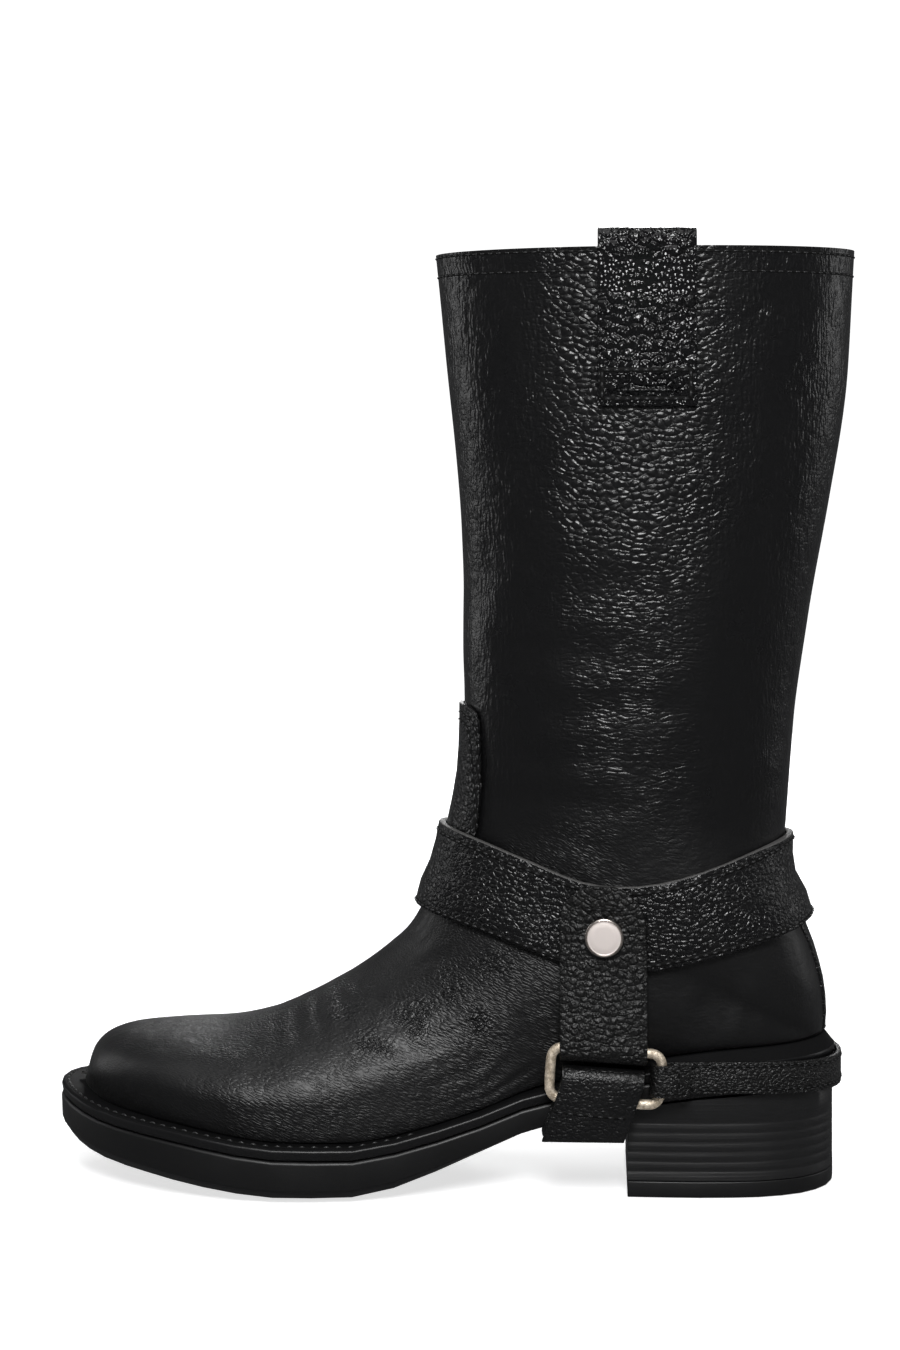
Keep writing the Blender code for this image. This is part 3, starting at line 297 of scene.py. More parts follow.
def curve(knots, values, at):
    """Smooth curve through the values that never swings past them."""
    knots = np.asarray(knots, float)
    values = np.asarray(values, float)
    at = np.clip(np.asarray(at, float), knots[0], knots[-1])
    step = np.diff(knots)
    rate = np.diff(values) / step
    slope = np.empty_like(values)
    slope[0] = rate[0]
    slope[-1] = rate[-1]
    before = 2 * step[1:] + step[:-1]
    after = step[1:] + 2 * step[:-1]
    same_way = rate[:-1] * rate[1:] > 0
    safe_before = np.where(same_way, rate[:-1], 1.0)
    safe_after = np.where(same_way, rate[1:], 1.0)
    mean = (before + after) / (before / safe_before + after / safe_after)
    slope[1:-1] = np.where(same_way, mean, 0.0)
    cell = np.clip(np.searchsorted(knots, at, side="right") - 1, 0, len(step) - 1)
    t = (at - knots[cell]) / step[cell]
    rise = values[cell + 1] - values[cell]
    bend = step[cell] * (slope[cell] * (1 - t) - slope[cell + 1] * t)
    return values[cell] + rise * t * t * (3 - 2 * t) + bend * t * (1 - t)


def around(lateral_name, medial_name):
    """Knots and values of two outline columns, once round the sole: heel, medial side, toe, lateral side."""
    turn = np.arccos(2 * column(OUTLINE, OUTLINE_COLUMNS, "along") - 1)
    medial = column(OUTLINE, OUTLINE_COLUMNS, medial_name)
    lateral = column(OUTLINE, OUTLINE_COLUMNS, lateral_name)
    knots = np.concatenate([-turn, turn[::-1][1:]])
    values = np.concatenate([medial, lateral[::-1][1:]])
    extra = 3
    knots = np.concatenate([knots[-1 - extra:-1] - 2 * math.pi, knots, knots[1:1 + extra] + 2 * math.pi])
    return knots, np.concatenate([values[-1 - extra:-1], values, values[1:1 + extra]])


def edge(turn, inset=0.0):
    """Points of the sole's outline at the given turns (0 at the toe, + lateral), set in along the normal."""
    turn = np.asarray(turn, float)
    knots, shares = around("lateral", "medial")

    def place(at):
        return HEEL_BACK + LENGTH * (1 + np.cos(at)) / 2, BALL_WIDTH * curve(knots, shares, at)

    reach = 0.01
    x, y = place(turn)
    x_after, y_after = place(turn + reach)
    x_before, y_before = place(turn - reach)
    run = np.hypot(x_after - x_before, y_after - y_before)
    return x - inset * (y_after - y_before) / run, y + inset * (x_after - x_before) / run


def ledge(turn):
    """How far the upper's base lies inside the sole's outline at the given turns."""
    return LEDGE * curve(*around("ledge", "ledge"), turn)


def profile(name, x):
    """One column of the sole's side view at x."""
    along = (np.asarray(x, float) - HEEL_BACK) / LENGTH
    return curve(column(PROFILE, PROFILE_COLUMNS, "along"), column(PROFILE, PROFILE_COLUMNS, name), along)


def welt_edge(x):
    """Height of the welt's top at its outer edge."""
    underside = HEEL_HEIGHT * profile("heel", x) + TOE_SPRING * profile("spring", x)
    return underside + OUTSOLE * profile("thick", x) + GAP + WELT


def welt_seat(x):
    """Height of the welt's top where the upper sits on it."""
    return welt_edge(x) + WELT * profile("rise", x)


def rows_of(steps):
    """Every section of the upper as columns of numbers, with steps rows from one to the next."""
    foot = {name: column(FOOT, FOOT_COLUMNS, name) for name in FOOT_COLUMNS}
    leg = {name: column(LEG, LEG_COLUMNS, name) for name in LEG_COLUMNS}
    ball = float(welt_seat(HEEL_BACK + LENGTH * 0.65))
    leg_height = BOOT_HEIGHT - ball - TOE_BOX
    heel_x = HEEL_BACK + float(ledge(math.pi))
    heel_z = float(welt_seat(heel_x)) + SEAT_GAP
    span = BOOT_HEIGHT - heel_z
    rows = {
        "turn": np.concatenate([foot["turn"], np.ones(len(LEG))]) * math.pi,
        "back_x": np.concatenate([np.zeros(len(FOOT)), LEG_AXIS - leg["back"] * COLLAR_DEPTH - heel_x]),
        "back_z": np.concatenate([np.zeros(len(FOOT)), leg["back_up"] * span]),
        "ridge_x": np.concatenate([HEEL_BACK + foot["along"] * LENGTH,
                                   LEG_AXIS + leg["front"] * COLLAR_DEPTH]),
        "ridge_z": ball + TOE_BOX * np.concatenate([foot["box"], np.ones(len(LEG))])
        + leg_height * np.concatenate([foot["leg"], leg["front_up"]]),
        "shift": BALL_WIDTH * np.concatenate([foot["shift"], np.zeros(len(LEG))]),
        "bulge": BALL_WIDTH * np.concatenate([foot["bulge"], np.zeros(len(LEG))]),
        "girth": np.concatenate([foot["girth"] * BALL_WIDTH, leg["girth"] * COLLAR_WIDTH]),
        "wide": np.concatenate([foot["wide"], leg["wide"]]),
        "low": np.concatenate([foot["low"], leg["low"]]),
        "high": np.concatenate([foot["high"], leg["high"]]),
    }
    index = np.arange(len(FOOT) + len(LEG), dtype=float)
    fine = np.linspace(0, index[-1], (len(index) - 1) * steps + 1)
    return {name: curve(index, values, fine) for name, values in rows.items()}, (len(FOOT) - 1) * steps


def skin_grid(steps, low, high):
    """Outer surface of the upper as a grid: rows from toe to collar, columns from lateral to medial base."""
    rows, heel_row = rows_of(steps)
    low_angle = np.linspace(0, math.pi / 2, low + 1)[:, None]
    high_angle = np.linspace(0, math.pi / 2, high + 1)[1:, None]
    halves = []
    for side in (1, -1):
        turn = side * rows["turn"]
        base_x, base_y = edge(turn, ledge(turn))
        base_z = welt_seat(base_x) + SEAT_GAP + rows["back_z"]
        base_x = base_x + rows["back_x"]
        base_y = np.where(rows["turn"] > math.pi - 1e-6, 0.0, base_y)
        spread = side * base_y + rows["bulge"]
        slack = 0.004
        apart = spread - rows["girth"]
        widest = side * (spread + rows["girth"] + np.sqrt(apart ** 2 + slack ** 2) - slack) / 2
        bend = 2 / rows["low"]
        low_y = base_y + (widest - base_y) * np.sin(low_angle) ** bend
        low_up = rows["wide"] * (1 - np.cos(low_angle) ** bend)
        bend = 2 / rows["high"]
        fade = np.where(np.arange(high) == high - 1, 0.0, np.cos(high_angle[:, 0]))[:, None]
        high_y = rows["shift"] + (widest - rows["shift"]) * fade ** bend
        high_up = rows["wide"] + (1 - rows["wide"]) * np.sin(high_angle) ** bend
        y = np.concatenate([low_y, high_y]).T
        up = np.concatenate([low_up, high_up]).T
        x = base_x[:, None] + (rows["ridge_x"] - base_x)[:, None] * up
        z = base_z[:, None] + (rows["ridge_z"] - base_z)[:, None] * up
        halves.append(np.stack([x, y, z], axis=2))
    lateral, medial = halves
    grid = np.concatenate([lateral, medial[:, ::-1][:, 1:]], axis=1)
    grid[0] = lateral[0, 0]
    near = np.exp(-((np.arange(len(grid)) - heel_row) / HEEL_EASE_ROWS) ** 2)[:, None, None]
    for _ in range(HEEL_EASE_ROUNDS):
        eased = grid.copy()
        eased[1:-1] = grid[1:-1] + 0.5 * near[1:-1] * (0.5 * (grid[:-2] + grid[2:]) - grid[1:-1])
        eased[:heel_row + 1, (0, -1)] = grid[:heel_row + 1, (0, -1)]
        grid = eased
    return grid, heel_row


def grid_faces(grid, heel_row):
    """Points and faces of the grid, the toe's row as one point and the leg's ends joined."""
    rows, columns = grid.shape[:2]
    number = np.zeros((rows, columns), int)
    points = [grid[0, 0]]
    for row in range(1, rows):
        for place in range(columns):
            if row >= heel_row and place == columns - 1:
                number[row, place] = number[row, 0]
            else:
                number[row, place] = len(points)
                points.append(grid[row, place])
    faces = []
    for row in range(rows - 1):
        for place in range(columns - 1):
            near, far = number[row], number[row + 1]
            ring = (near[place], near[place + 1], far[place + 1], far[place])
            faces.append(tuple(dict.fromkeys(int(v) for v in ring)))
    return np.array(points), faces, number


def linear(code):
    """An sRGB hex colour as linear numbers."""
    shares = [int(code[i:i + 2], 16) / 255 for i in (1, 3, 5)]
    return tuple(s / 12.92 if s <= 0.04045 else ((s + 0.055) / 1.055) ** 2.4 for s in shares) + (1.0,)


def wire(tree, node, sockets):
    """Sets each socket of a node to a value, or links it to an output or to another node's first output."""
    for key, value in sockets.items():
        if isinstance(value, bpy.types.Node):
            value = value.outputs[0]
        if isinstance(value, bpy.types.NodeSocket):
            tree.links.new(value, node.inputs[key])
        else:
            node.inputs[key].default_value = value


def add(tree, kind, sockets, **settings):
    """One shader node with its settings and its sockets."""
    node = tree.nodes.new("ShaderNode" + kind)
    for key, value in settings.items():
        setattr(node, key, value)
    wire(tree, node, sockets)
    return node


def finish_named(name):
    """An empty material with its shader, and where the surface's own place is read from."""
    made = bpy.data.materials.new(name)
    made.use_nodes = True
    tree = made.node_tree
    return made, tree, tree.nodes["Principled BSDF"], add(tree, "TexCoord", {}).outputs["Object"]


def scaled(tree, place, size_mm, stretch=(1, 1, 1), lean=0.0):
    """Places in units of a pattern's real size, leaning forward by an angle first."""
    if lean:
        place = add(tree, "Mapping", {"Vector": place, "Rotation": (0, lean, 0)})
    return add(tree, "Mapping", {"Vector": place, "Scale": tuple(1 / (size_mm * MM * s) for s in stretch)})


def wavy(tree, place, size_mm, push_mm):
    """Places pushed about a little by soft noise, so that no pattern runs straight."""
    noise = add(tree, "TexNoise", {"Vector": place, "Scale": 1 / (size_mm * MM), "Detail": 1.0})
    centred = add(tree, "VectorMath", {0: noise.outputs["Color"], 1: (0.5, 0.5, 0.5)}, operation="SUBTRACT")
    push = add(tree, "VectorMath", {0: centred, "Scale": push_mm * MM}, operation="SCALE")
    return add(tree, "VectorMath", {0: place, 1: push}, operation="ADD")


def hide(tree, place, size_mm, stretch=(1, 1, 1), lean=0.0, groove=0.24):
    """Leather grain: glossy tops, half rounded and half flat, with narrow grooves between them."""
    spread = scaled(tree, place, size_mm, stretch, lean)
    apart = add(tree, "TexVoronoi", {"Vector": spread, "Scale": 1.0}, feature="DISTANCE_TO_EDGE")
    flat = add(tree, "MapRange", {"Value": apart, "From Max": groove}, interpolation_type="SMOOTHSTEP")
    return add(tree, "Mix", {0: 0.5, 2: flat, 3: domes(tree, place, size_mm, stretch, lean)})


def domes(tree, place, size_mm, stretch=(1, 1, 1), lean=0.0):
    """Rounded grains that touch, from about 0 between them to 1 on top."""
    middle = add(tree, "TexVoronoi", {"Vector": scaled(tree, place, size_mm, stretch, lean), "Scale": 1.0})
    return add(tree, "MapRange", {"Value": middle, "From Min": 0.75, "From Max": 0.05},
               interpolation_type="SMOOTHSTEP")


def relief(tree, layers):
    """Bumps one on the other: each layer is a height from 0 to 1 and its real depth in mm."""
    normal = None
    for height, depth in layers:
        under = {"Normal": normal} if normal else {}
        normal = add(tree, "Bump", {"Height": height, "Distance": depth * MM, "Strength": 1.0, **under})
    return normal


def upper_leather():
    """Full-grain calf, drummed and then plated glossy: rounded grains that catch small sharp lights, drawn
    out into fine folds where the hide is stretched, smooth over the toe and the heel. The real grains are
    about 1.5 and 0.5 mm wide; they are drawn up to 2.4 and 0.9 mm wide, because smaller ones run together
    in the picture."""
    made, tree, shader, place = finish_named("glossy pebbled calf leather")
    own = {name: add(tree, "Attribute", {}, attribute_name=name).outputs["Fac"] for name in SKIN_NUMBERS}
    loose = wavy(tree, place, 6.0, 2.4)
    pebbles = hide(tree, loose, 2.4, stretch=(1.2, 1.2, 0.85))
    small = domes(tree, wavy(tree, place, 2.0, 0.6), 0.9)
    level = hide(tree, loose, 1.9, stretch=(2.8, 2.8, 0.8))
    upright = domes(tree, loose, 1.6, stretch=(0.8, 0.8, 3.2))
    drawn = hide(tree, wavy(tree, place, 5.0, 1.6), 0.95, stretch=(3.4, 1.0, 0.9), lean=0.42)
    crackle = hide(tree, wavy(tree, place, 3.0, 1.6), 1.5, stretch=(1.8, 1.0, 0.8), lean=-0.45)
    grain = add(tree, "Mix", {0: own["upright"], 2: level, 3: upright})
    grain = add(tree, "Mix", {0: own["pebble"], 2: grain, 3: pebbles})
    grain = add(tree, "Mix", {0: own["vamp"], 2: grain, 3: drawn})
    soft = add(tree, "TexNoise", {"Vector": place, "Scale": 1 / (14 * MM), "Detail": 3.0})
    uneven = add(tree, "TexNoise", {"Vector": place, "Scale": 1 / (16 * MM), "Detail": 2.0})
    share = add(tree, "MapRange", {0: uneven, "From Min": 0.3, "From Max": 0.7, "To Min": 0.5, "To Max": 1.3})
    shown = add(tree, "Math", {0: share, 1: own["depth"]}, operation="MULTIPLY")
    centred = add(tree, "Math", {0: grain, 1: 0.5}, operation="SUBTRACT")
    deep = add(tree, "Math", {0: centred, 1: shown}, operation="MULTIPLY")
    torn = add(tree, "TexNoise", {"Vector": place, "Scale": 1 / (7 * MM), "Detail": 3.0})
    patch = add(tree, "MapRange", {"Value": torn, "From Min": 0.34, "From Max": 0.56})
    patch = add(tree, "Math", {0: patch, 1: own["crackle"]}, operation="MULTIPLY")
    centred = add(tree, "Math", {0: crackle, 1: 0.5}, operation="SUBTRACT")
    cracked = add(tree, "Math", {0: centred, 1: patch}, operation="MULTIPLY")
    fine = add(tree, "Math", {0: small, 1: own["fine"]}, operation="MULTIPLY")
    patches = add(tree, "TexNoise", {"Vector": place, "Scale": 1 / (22 * MM), "Detail": 4.0})
    rough = add(tree, "MapRange", {"Value": patches, "To Min": 0.22, "To Max": 0.36})
    rough = add(tree, "Math", {0: own["foot"], 1: 0.15, 2: rough}, operation="MULTIPLY_ADD")
    rough = add(tree, "Math", {0: patch, 1: -0.10, 2: rough}, operation="MULTIPLY_ADD")
    normal = relief(tree, [(soft, 0.8), (deep, 0.40), (cracked, 0.34), (fine, 0.05)])
    wire(tree, shader, {"Base Color": linear("#0b0b0c"), "Roughness": rough, "Normal": normal, "IOR": 1.5})
    return made


def strap_leather(name, colour, grain_mm, depth_mm, rough, pressed=None):
    """The same hide cut into straps, with an even grain. Between the two heights of pressed the grain is
    flattened, as it is under the fold of a pull loop."""
    made, tree, shader, place = finish_named(name)
    deep = hide(tree, wavy(tree, place, 4.0, 1.0), grain_mm, stretch=(1.2, 1.2, 0.9))
    small = domes(tree, wavy(tree, place, 1.6, 0.5), grain_mm * 0.45)
    soft = add(tree, "TexNoise", {"Vector": place, "Scale": 1 / (9 * MM), "Detail": 2.0})
    if pressed:
        height = add(tree, "SeparateXYZ", {"Vector": place}).outputs["Z"]
        under, over = (add(tree, "MapRange", {"Value": height, "From Min": at - MM, "From Max": at + MM})
                       for at in pressed)
        plain = add(tree, "Math", {0: under, 1: over}, operation="SUBTRACT")
        deep = add(tree, "Mix", {0: plain, 2: deep, 3: 0.0})
    patches = add(tree, "TexNoise", {"Vector": place, "Scale": 1 / (12 * MM), "Detail": 3.0})
    shine = add(tree, "MapRange", {"Value": patches, "To Min": rough - 0.08, "To Max": rough + 0.10})
    normal = relief(tree, [(soft, 0.5), (deep, depth_mm), (small, depth_mm * 0.35)])
    wire(tree, shader, {"Base Color": linear(colour), "Roughness": shine, "Normal": normal, "IOR": 1.5})
    return made


def raw_edge_painted_highlight():
    """Cut edge of the strap, dyed by hand: dull, greyer than the face, with fibres. It is put on upward faces
    only, so its light grey is partly a painted highlight along the top edge. The fibres are drawn 0.7 mm
    thick, coarser than they are, so that they show."""
    made, tree, shader, place = finish_named("raw edge with painted highlight")
    fibre = add(tree, "TexNoise", {"Vector": place, "Scale": 1 / (0.7 * MM), "Detail": 4.0})
    tone = add(tree, "Mix", {0: fibre, 6: linear("#2b2a2a"), 7: linear("#686766")}, data_type="RGBA")
    wire(tree, shader, {"Base Color": tone.outputs[2], "Roughness": 0.6,
                        "Normal": relief(tree, [(fibre, 0.12)])})
    return made


def sole_rubber(name, colour, rough, lines_mm=None, specular=0.5):
    """Moulded rubber, buffed and dressed black: satin, with a faint cloud of polish and small pits, drawn
    0.5 mm wide so that they show, and on the stacked heel with level lines lines_mm high."""
    made, tree, shader, place = finish_named(name)
    cloud = add(tree, "TexNoise", {"Vector": place, "Scale": 1 / (16 * MM), "Detail": 5.0})
    layers = [(add(tree, "TexNoise", {"Vector": place, "Scale": 1 / (0.5 * MM), "Detail": 3.0}), 0.035)]
    if lines_mm:
        level = scaled(tree, place, 1.0, (40, 40, lines_mm))
        layers.append((add(tree, "TexNoise", {"Vector": level, "Scale": 1.0, "Detail": 4.0}), 0.12))
    shine = add(tree, "MapRange", {"Value": cloud, "To Min": rough - 0.10, "To Max": rough + 0.12})
    wire(tree, shader, {"Base Color": linear(colour), "Roughness": shine, "Normal": relief(tree, layers),
                        "Specular IOR Level": specular, "IOR": 1.52})
    return made


def lining():
    """Brushed pigskin lining: matt dark grey with a short nap, drawn 0.6 mm long so that it shows."""
    made, tree, shader, place = finish_named("brushed lining")
    nap = add(tree, "TexNoise", {"Vector": place, "Scale": 1 / (0.6 * MM), "Detail": 6.0})
    tone = add(tree, "Mix", {0: nap, 6: linear("#1b1a19"), 7: linear("#2b2927")}, data_type="RGBA")
    wire(tree, shader, {"Base Color": tone.outputs[2], "Roughness": 0.9, "Sheen Weight": 0.2,
                        "Normal": relief(tree, [(nap, 0.12)])})
    return made


def thread():
    """Bonded nylon thread, black, with a dull shine. Its twist of 0.3 mm is too fine to show and only breaks
    the shine up."""
    made, tree, shader, place = finish_named("bonded nylon thread")
    twist = add(tree, "TexNoise", {"Vector": place, "Scale": 1 / (0.3 * MM), "Detail": 2.0})
    wire(tree, shader, {"Base Color": linear("#242425"), "Roughness": 0.34,
                        "Normal": relief(tree, [(twist, 0.05)])})
    return made


def painted_shade_strip_finish():
    """Painted shade: a dull strip under a row of stitches, darker than the grain, in place of a groove's
    shade.
    """
    made, tree, shader, place = finish_named("painted shade strip under stitches")
    soft = add(tree, "TexNoise", {"Vector": place, "Scale": 1 / (0.8 * MM), "Detail": 2.0})
    wire(tree, shader, {"Base Color": linear("#050505"), "Roughness": 0.75, "Specular IOR Level": 0.2,
                        "Normal": relief(tree, [(soft, 0.08)])})
    return made


def cast_ring_metal():
    """Cast zinc with worn champagne plating: mottled warm silver, duller in the small hollows."""
    made, tree, shader, place = finish_named("worn champagne plating")
    blots = add(tree, "TexNoise", {"Vector": place, "Scale": 1 / (1.6 * MM), "Detail": 6.0, "Roughness": 0.7})
    share = add(tree, "MapRange", {"Value": blots, "From Min": 0.40, "From Max": 0.62})
    tone = add(tree, "Mix", {0: share, 6: linear("#a89a86"), 7: linear("#f6e8d4")}, data_type="RGBA")
    rough = add(tree, "MapRange", {"Value": share, "To Min": 0.62, "To Max": 0.42})
    wire(tree, shader, {"Base Color": tone.outputs[2], "Roughness": rough, "Metallic": 0.7,
                        "Normal": relief(tree, [(blots, 0.25)])})
    return made


def nickel(name, colour, haze_mm, detail, least, most, metallic):
    """Nickel plate with a haze of fine brushing, which is roughest at most and brightest at least."""
    made, tree, shader, place = finish_named(name)
    haze = add(tree, "TexNoise", {"Vector": place, "Scale": 1 / (haze_mm * MM), "Detail": detail})
    rough = add(tree, "MapRange", {"Value": haze, "To Min": least, "To Max": most})
    wire(tree, shader, {"Base Color": linear(colour), "Roughness": rough, "Metallic": metallic})
    return made


def glowing_floor():
    """A floor that glows by itself, though it is no lamp: painted light. It glows less round its middle, so
    that the boot's shadow shows, and more further out, where it makes up for the overhead light's fall-off."""
    made, tree, shader, place = finish_named("floor with painted glow")
    away = add(tree, "VectorMath", {0: place}, operation="LENGTH").outputs["Value"]
    glow = add(tree, "MapRange", {0: away, "From Min": 0.35, "From Max": 1.1, "To Min": 0.7, "To Max": 1.1})
    wire(tree, shader, {"Base Color": linear("#f4f4f5"), "Roughness": 0.9,
                        "Emission Color": linear("#ffffff"), "Emission Strength": glow})
    return made


def backdrop_glow():
    """White paper lit evenly all over: it shows plain white behind the boot."""
    made, tree, shader, _ = finish_named("evenly lit backdrop")
    wire(tree, shader, {"Base Color": linear("#000000"), "Emission Color": linear("#ffffff"),
                        "Emission Strength": 1.1})
    return made


def piece(name, points, faces, finishes, picks=None):
    """One smooth-shaded object that rides on the boot."""
    mesh = bpy.data.meshes.new(name)
    mesh.from_pydata([tuple(p) for p in points], [], faces)
    for finish in finishes:
        mesh.materials.append(finish)
    if picks is not None:
        mesh.polygons.foreach_set("material_index", picks)
    mesh.shade_smooth()
    made = bpy.data.objects.new(name, mesh)
    bpy.context.scene.collection.objects.link(made)
    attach(made, "root")
    return made


def number_on(made, name, values):
    """Keeps a number at each point of a piece."""
    made.data.attributes.new(name, "FLOAT", "POINT").data.foreach_set("value", np.asarray(values, np.float32))


def normals_of(made):
    """The normals of a piece's points."""
    flat = np.empty(len(made.data.vertices) * 3)
    made.data.vertices.foreach_get("normal", flat)
    return flat.reshape(-1, 3)


def tree_of(made):
    """A piece as a tree of faces that rays can be cast at."""
    bpy.context.view_layer.update()
    return BVHTree.FromObject(made, bpy.context.evaluated_depsgraph_get())


def face_out(made, sharp):
    """Turns every face outwards, and keeps edges sharper than an angle in degrees sharp."""
    shape = bmesh.new()
    shape.from_mesh(made.data)
    bmesh.ops.recalc_face_normals(shape, faces=shape.faces)
    shape.to_mesh(made.data)
    shape.free()
    made.data.set_sharp_from_angle(angle=math.radians(sharp))


def hit(tree, start, way):
    """Where a ray meets a piece and the normal that faces the ray, or None."""
    point, normal, _, _ = tree.ray_cast(Vector(start), Vector(way))
    if point is None:
        return None
    if normal.dot(Vector(way)) > 0:
        normal = -normal
    return np.array(point), np.array(normal)


def along_line(points, line):
    """Distance of points to a broken line, and how far along it the nearest place is, from 0 to 1."""
    best = np.full(len(points), 1e9)
    share = np.zeros(len(points))
    lengths = np.linalg.norm(np.diff(line, axis=0), axis=1)
    total = lengths.sum()
    gone = 0.0
    for start, end, length in zip(line[:-1], line[1:], lengths):
        way = (end - start) / length
        t = np.clip((points - start) @ way, 0, length)
        off = np.linalg.norm(points - start - t[:, None] * way, axis=1)
        closer = off < best
        best = np.where(closer, off, best)
        share = np.where(closer, (gone + t) / total, share)
        gone += length
    return best, share


def smooth_line(corners, count=14):
    """A smooth line through the corners."""
    corners = np.array(corners, float)
    fine = np.linspace(0, len(corners) - 1, count)
    return np.array([[catmull(row, at) for row in corners.T] for at in fine])


def catmull(values, at):
    """A value read between the given ones, on a smooth curve through all of them."""
    cell = min(int(at), len(values) - 2)
    t = at - cell
    p0, p1 = values[max(cell - 1, 0)], values[cell]
    p2, p3 = values[cell + 1], values[min(cell + 2, len(values) - 1)]
    bend = (2 * p0 - 5 * p1 + 4 * p2 - p3) * t * t + (3 * p1 - p0 - 3 * p2 + p3) * t ** 3
    return 0.5 * (2 * p1 + (p2 - p0) * t + bend)


def fade(values, start, end):
    """0 at start, 1 at end, smooth between."""
    share = np.clip((values - start) / (end - start), 0, 1)
    return share * share * (3 - 2 * share)


def creased(points, shape_tree):
    """How far the creases push each point of the skin out, and how much of the fine crackle it has."""
    push = np.zeros(len(points))
    crackled = np.zeros(len(points))
    for side in (1, -1):
        for corners, width, depth, ridge in CREASES:
            line = []
            for x, z in smooth_line(corners):
                shift = 0.0 if side > 0 else 2.5 * math.sin(x * 0.9 + z * 0.7)
                found = hit(shape_tree, ((x + shift) * MM, side * OFF, (z + shift) * MM), (0, -side, 0))
                if found is not None:
                    line.append(found[0])
            if len(line) < 2:
                continue
            off, share = along_line(points, np.array(line))
            taper = fade(share, 0.0, 0.25) * fade(share, 1.0, 0.75)
            off = off / (width * MM)
            push += depth * MM * (-np.exp(-off ** 2) + ridge * np.exp(-(off - 1.9) ** 2)) * taper
        for x, z, radius in CRACKLE:
            found = hit(shape_tree, (x * MM, side * OFF, z * MM), (0, -side, 0))
            off = np.linalg.norm(points - found[0], axis=1) / (radius * MM)
            crackled = np.maximum(crackled, fade(off, 1.35, 0.35))
    x, y, z = points.T
    folds = np.sin(z / 0.017 + 2.2 * np.sin(x / 0.03) + 1.3 * y / 0.03) * np.sin(x / 0.045 + z / 0.08)
    push += FOLD_DEPTH * folds * fade(z, *FOLDS_BEGIN) * fade(z, *FOLDS_END)
    above_welt = z - welt_seat(np.clip(x, HEEL_BACK, HEEL_BACK + LENGTH))
    return push * fade(above_welt, *WELT_CLEAR) * fade(BOOT_HEIGHT - z, *COLLAR_CLEAR), crackled


def inner_wall(points, normals, number, heel_row):
    """Points of the lining, one wall inside the skin: level at the collar, set in from the outline at the
    sole."""
    inner = points - WALL * normals
    collar = number[-1]
    flat = normals[collar] * (1, 1, 0)
    inner[collar] = points[collar] - WALL * flat / np.linalg.norm(flat, axis=1)[:, None]
    rows, _ = rows_of(ROW_STEPS)
    for row in range(heel_row + 1):
        for side, place in ((1, 0), (-1, number.shape[1] - 1)):
            turn = side * rows["turn"][row]
            inner_x, inner_y = edge(turn, ledge(turn) + WALL)
            inner_y = 0.0 if row == heel_row else float(inner_y)
            inner[number[row, place]] = (float(inner_x), inner_y, points[number[row, place], 2])
    return inner


def skin_numbers(points, crackled):
    """The numbers that the leather reads at each point: which grain it has there, how deep, how it shines."""
    x, y, z = points.T
    round_leg = np.abs(np.arctan2(y, x - LEG_MIDDLE))
    on_leg = fade(z, *LEG_ZONE)
    foot = 1 - on_leg
    lower = fade(z, *LOW_LEG_ZONE)
    toe = fade(x, *TOE_ZONE)
    heel = fade(x, *HEEL_ZONE) * foot
    upright = np.clip(fade(round_leg, *FRONT_ZONE) + fade(round_leg, *BACK_ZONE), 0, 1) * on_leg
    pebble = on_leg * (1 - 0.75 * lower) * (1 - 0.65 * upright)
    leg_depth = on_leg * (0.42 + 0.58 * (1 - lower)) * (1 - 0.45 * upright)
    depth = leg_depth + foot * (0.32 - 0.21 * toe - 0.25 * heel)
    fine = 0.35 + 0.5 * on_leg - 0.25 * toe * foot
    vamp = foot * (1 - heel)
    return dict(zip(SKIN_NUMBERS, (pebble, upright, depth, fine, crackled, vamp, foot)))


def build_skin(outer_finish, inner_finish):
    """The upper as one wall: outer skin with its creases, lining inside, rims at collar and sole."""
    grid, heel_row = skin_grid(ROW_STEPS, LOW_COLUMNS, HIGH_COLUMNS)
    points, faces, number = grid_faces(grid, heel_row)
    plain = piece("skin_shape", points, faces, [outer_finish])
    normals = normals_of(plain)
    if normals[number[-1, 0]][0] > 0:
        normals = -normals
        faces = [tuple(reversed(face)) for face in faces]
    push, crackled = creased(points, tree_of(plain))
    bpy.data.objects.remove(plain, do_unlink=True)
    outer = points + normals * push[:, None]
    inner = inner_wall(points, normals, number, heel_row)
    count, last = len(points), number.shape[1] - 1
    rims = [(number[row, place], number[row + 1, place]) for row in range(heel_row) for place in (0, last)]
    rims += [(number[-1, place], number[-1, place + 1]) for place in range(last)]
    picks = [0] * len(faces) + [1] * len(faces) + [0] * len(rims)
    faces = faces + [tuple(v + count for v in reversed(face)) for face in faces]
    for near, far in rims:
        faces.append((int(near), int(far), int(far) + count, int(near) + count))
    made = piece("upper_skin", np.concatenate([outer, inner]), faces, [outer_finish, inner_finish],
                 picks)
    face_out(made, 50)
    for name, values in skin_numbers(points, crackled).items():
        number_on(made, name, np.concatenate([values, np.zeros(count)]))
    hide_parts("upper")
    return made


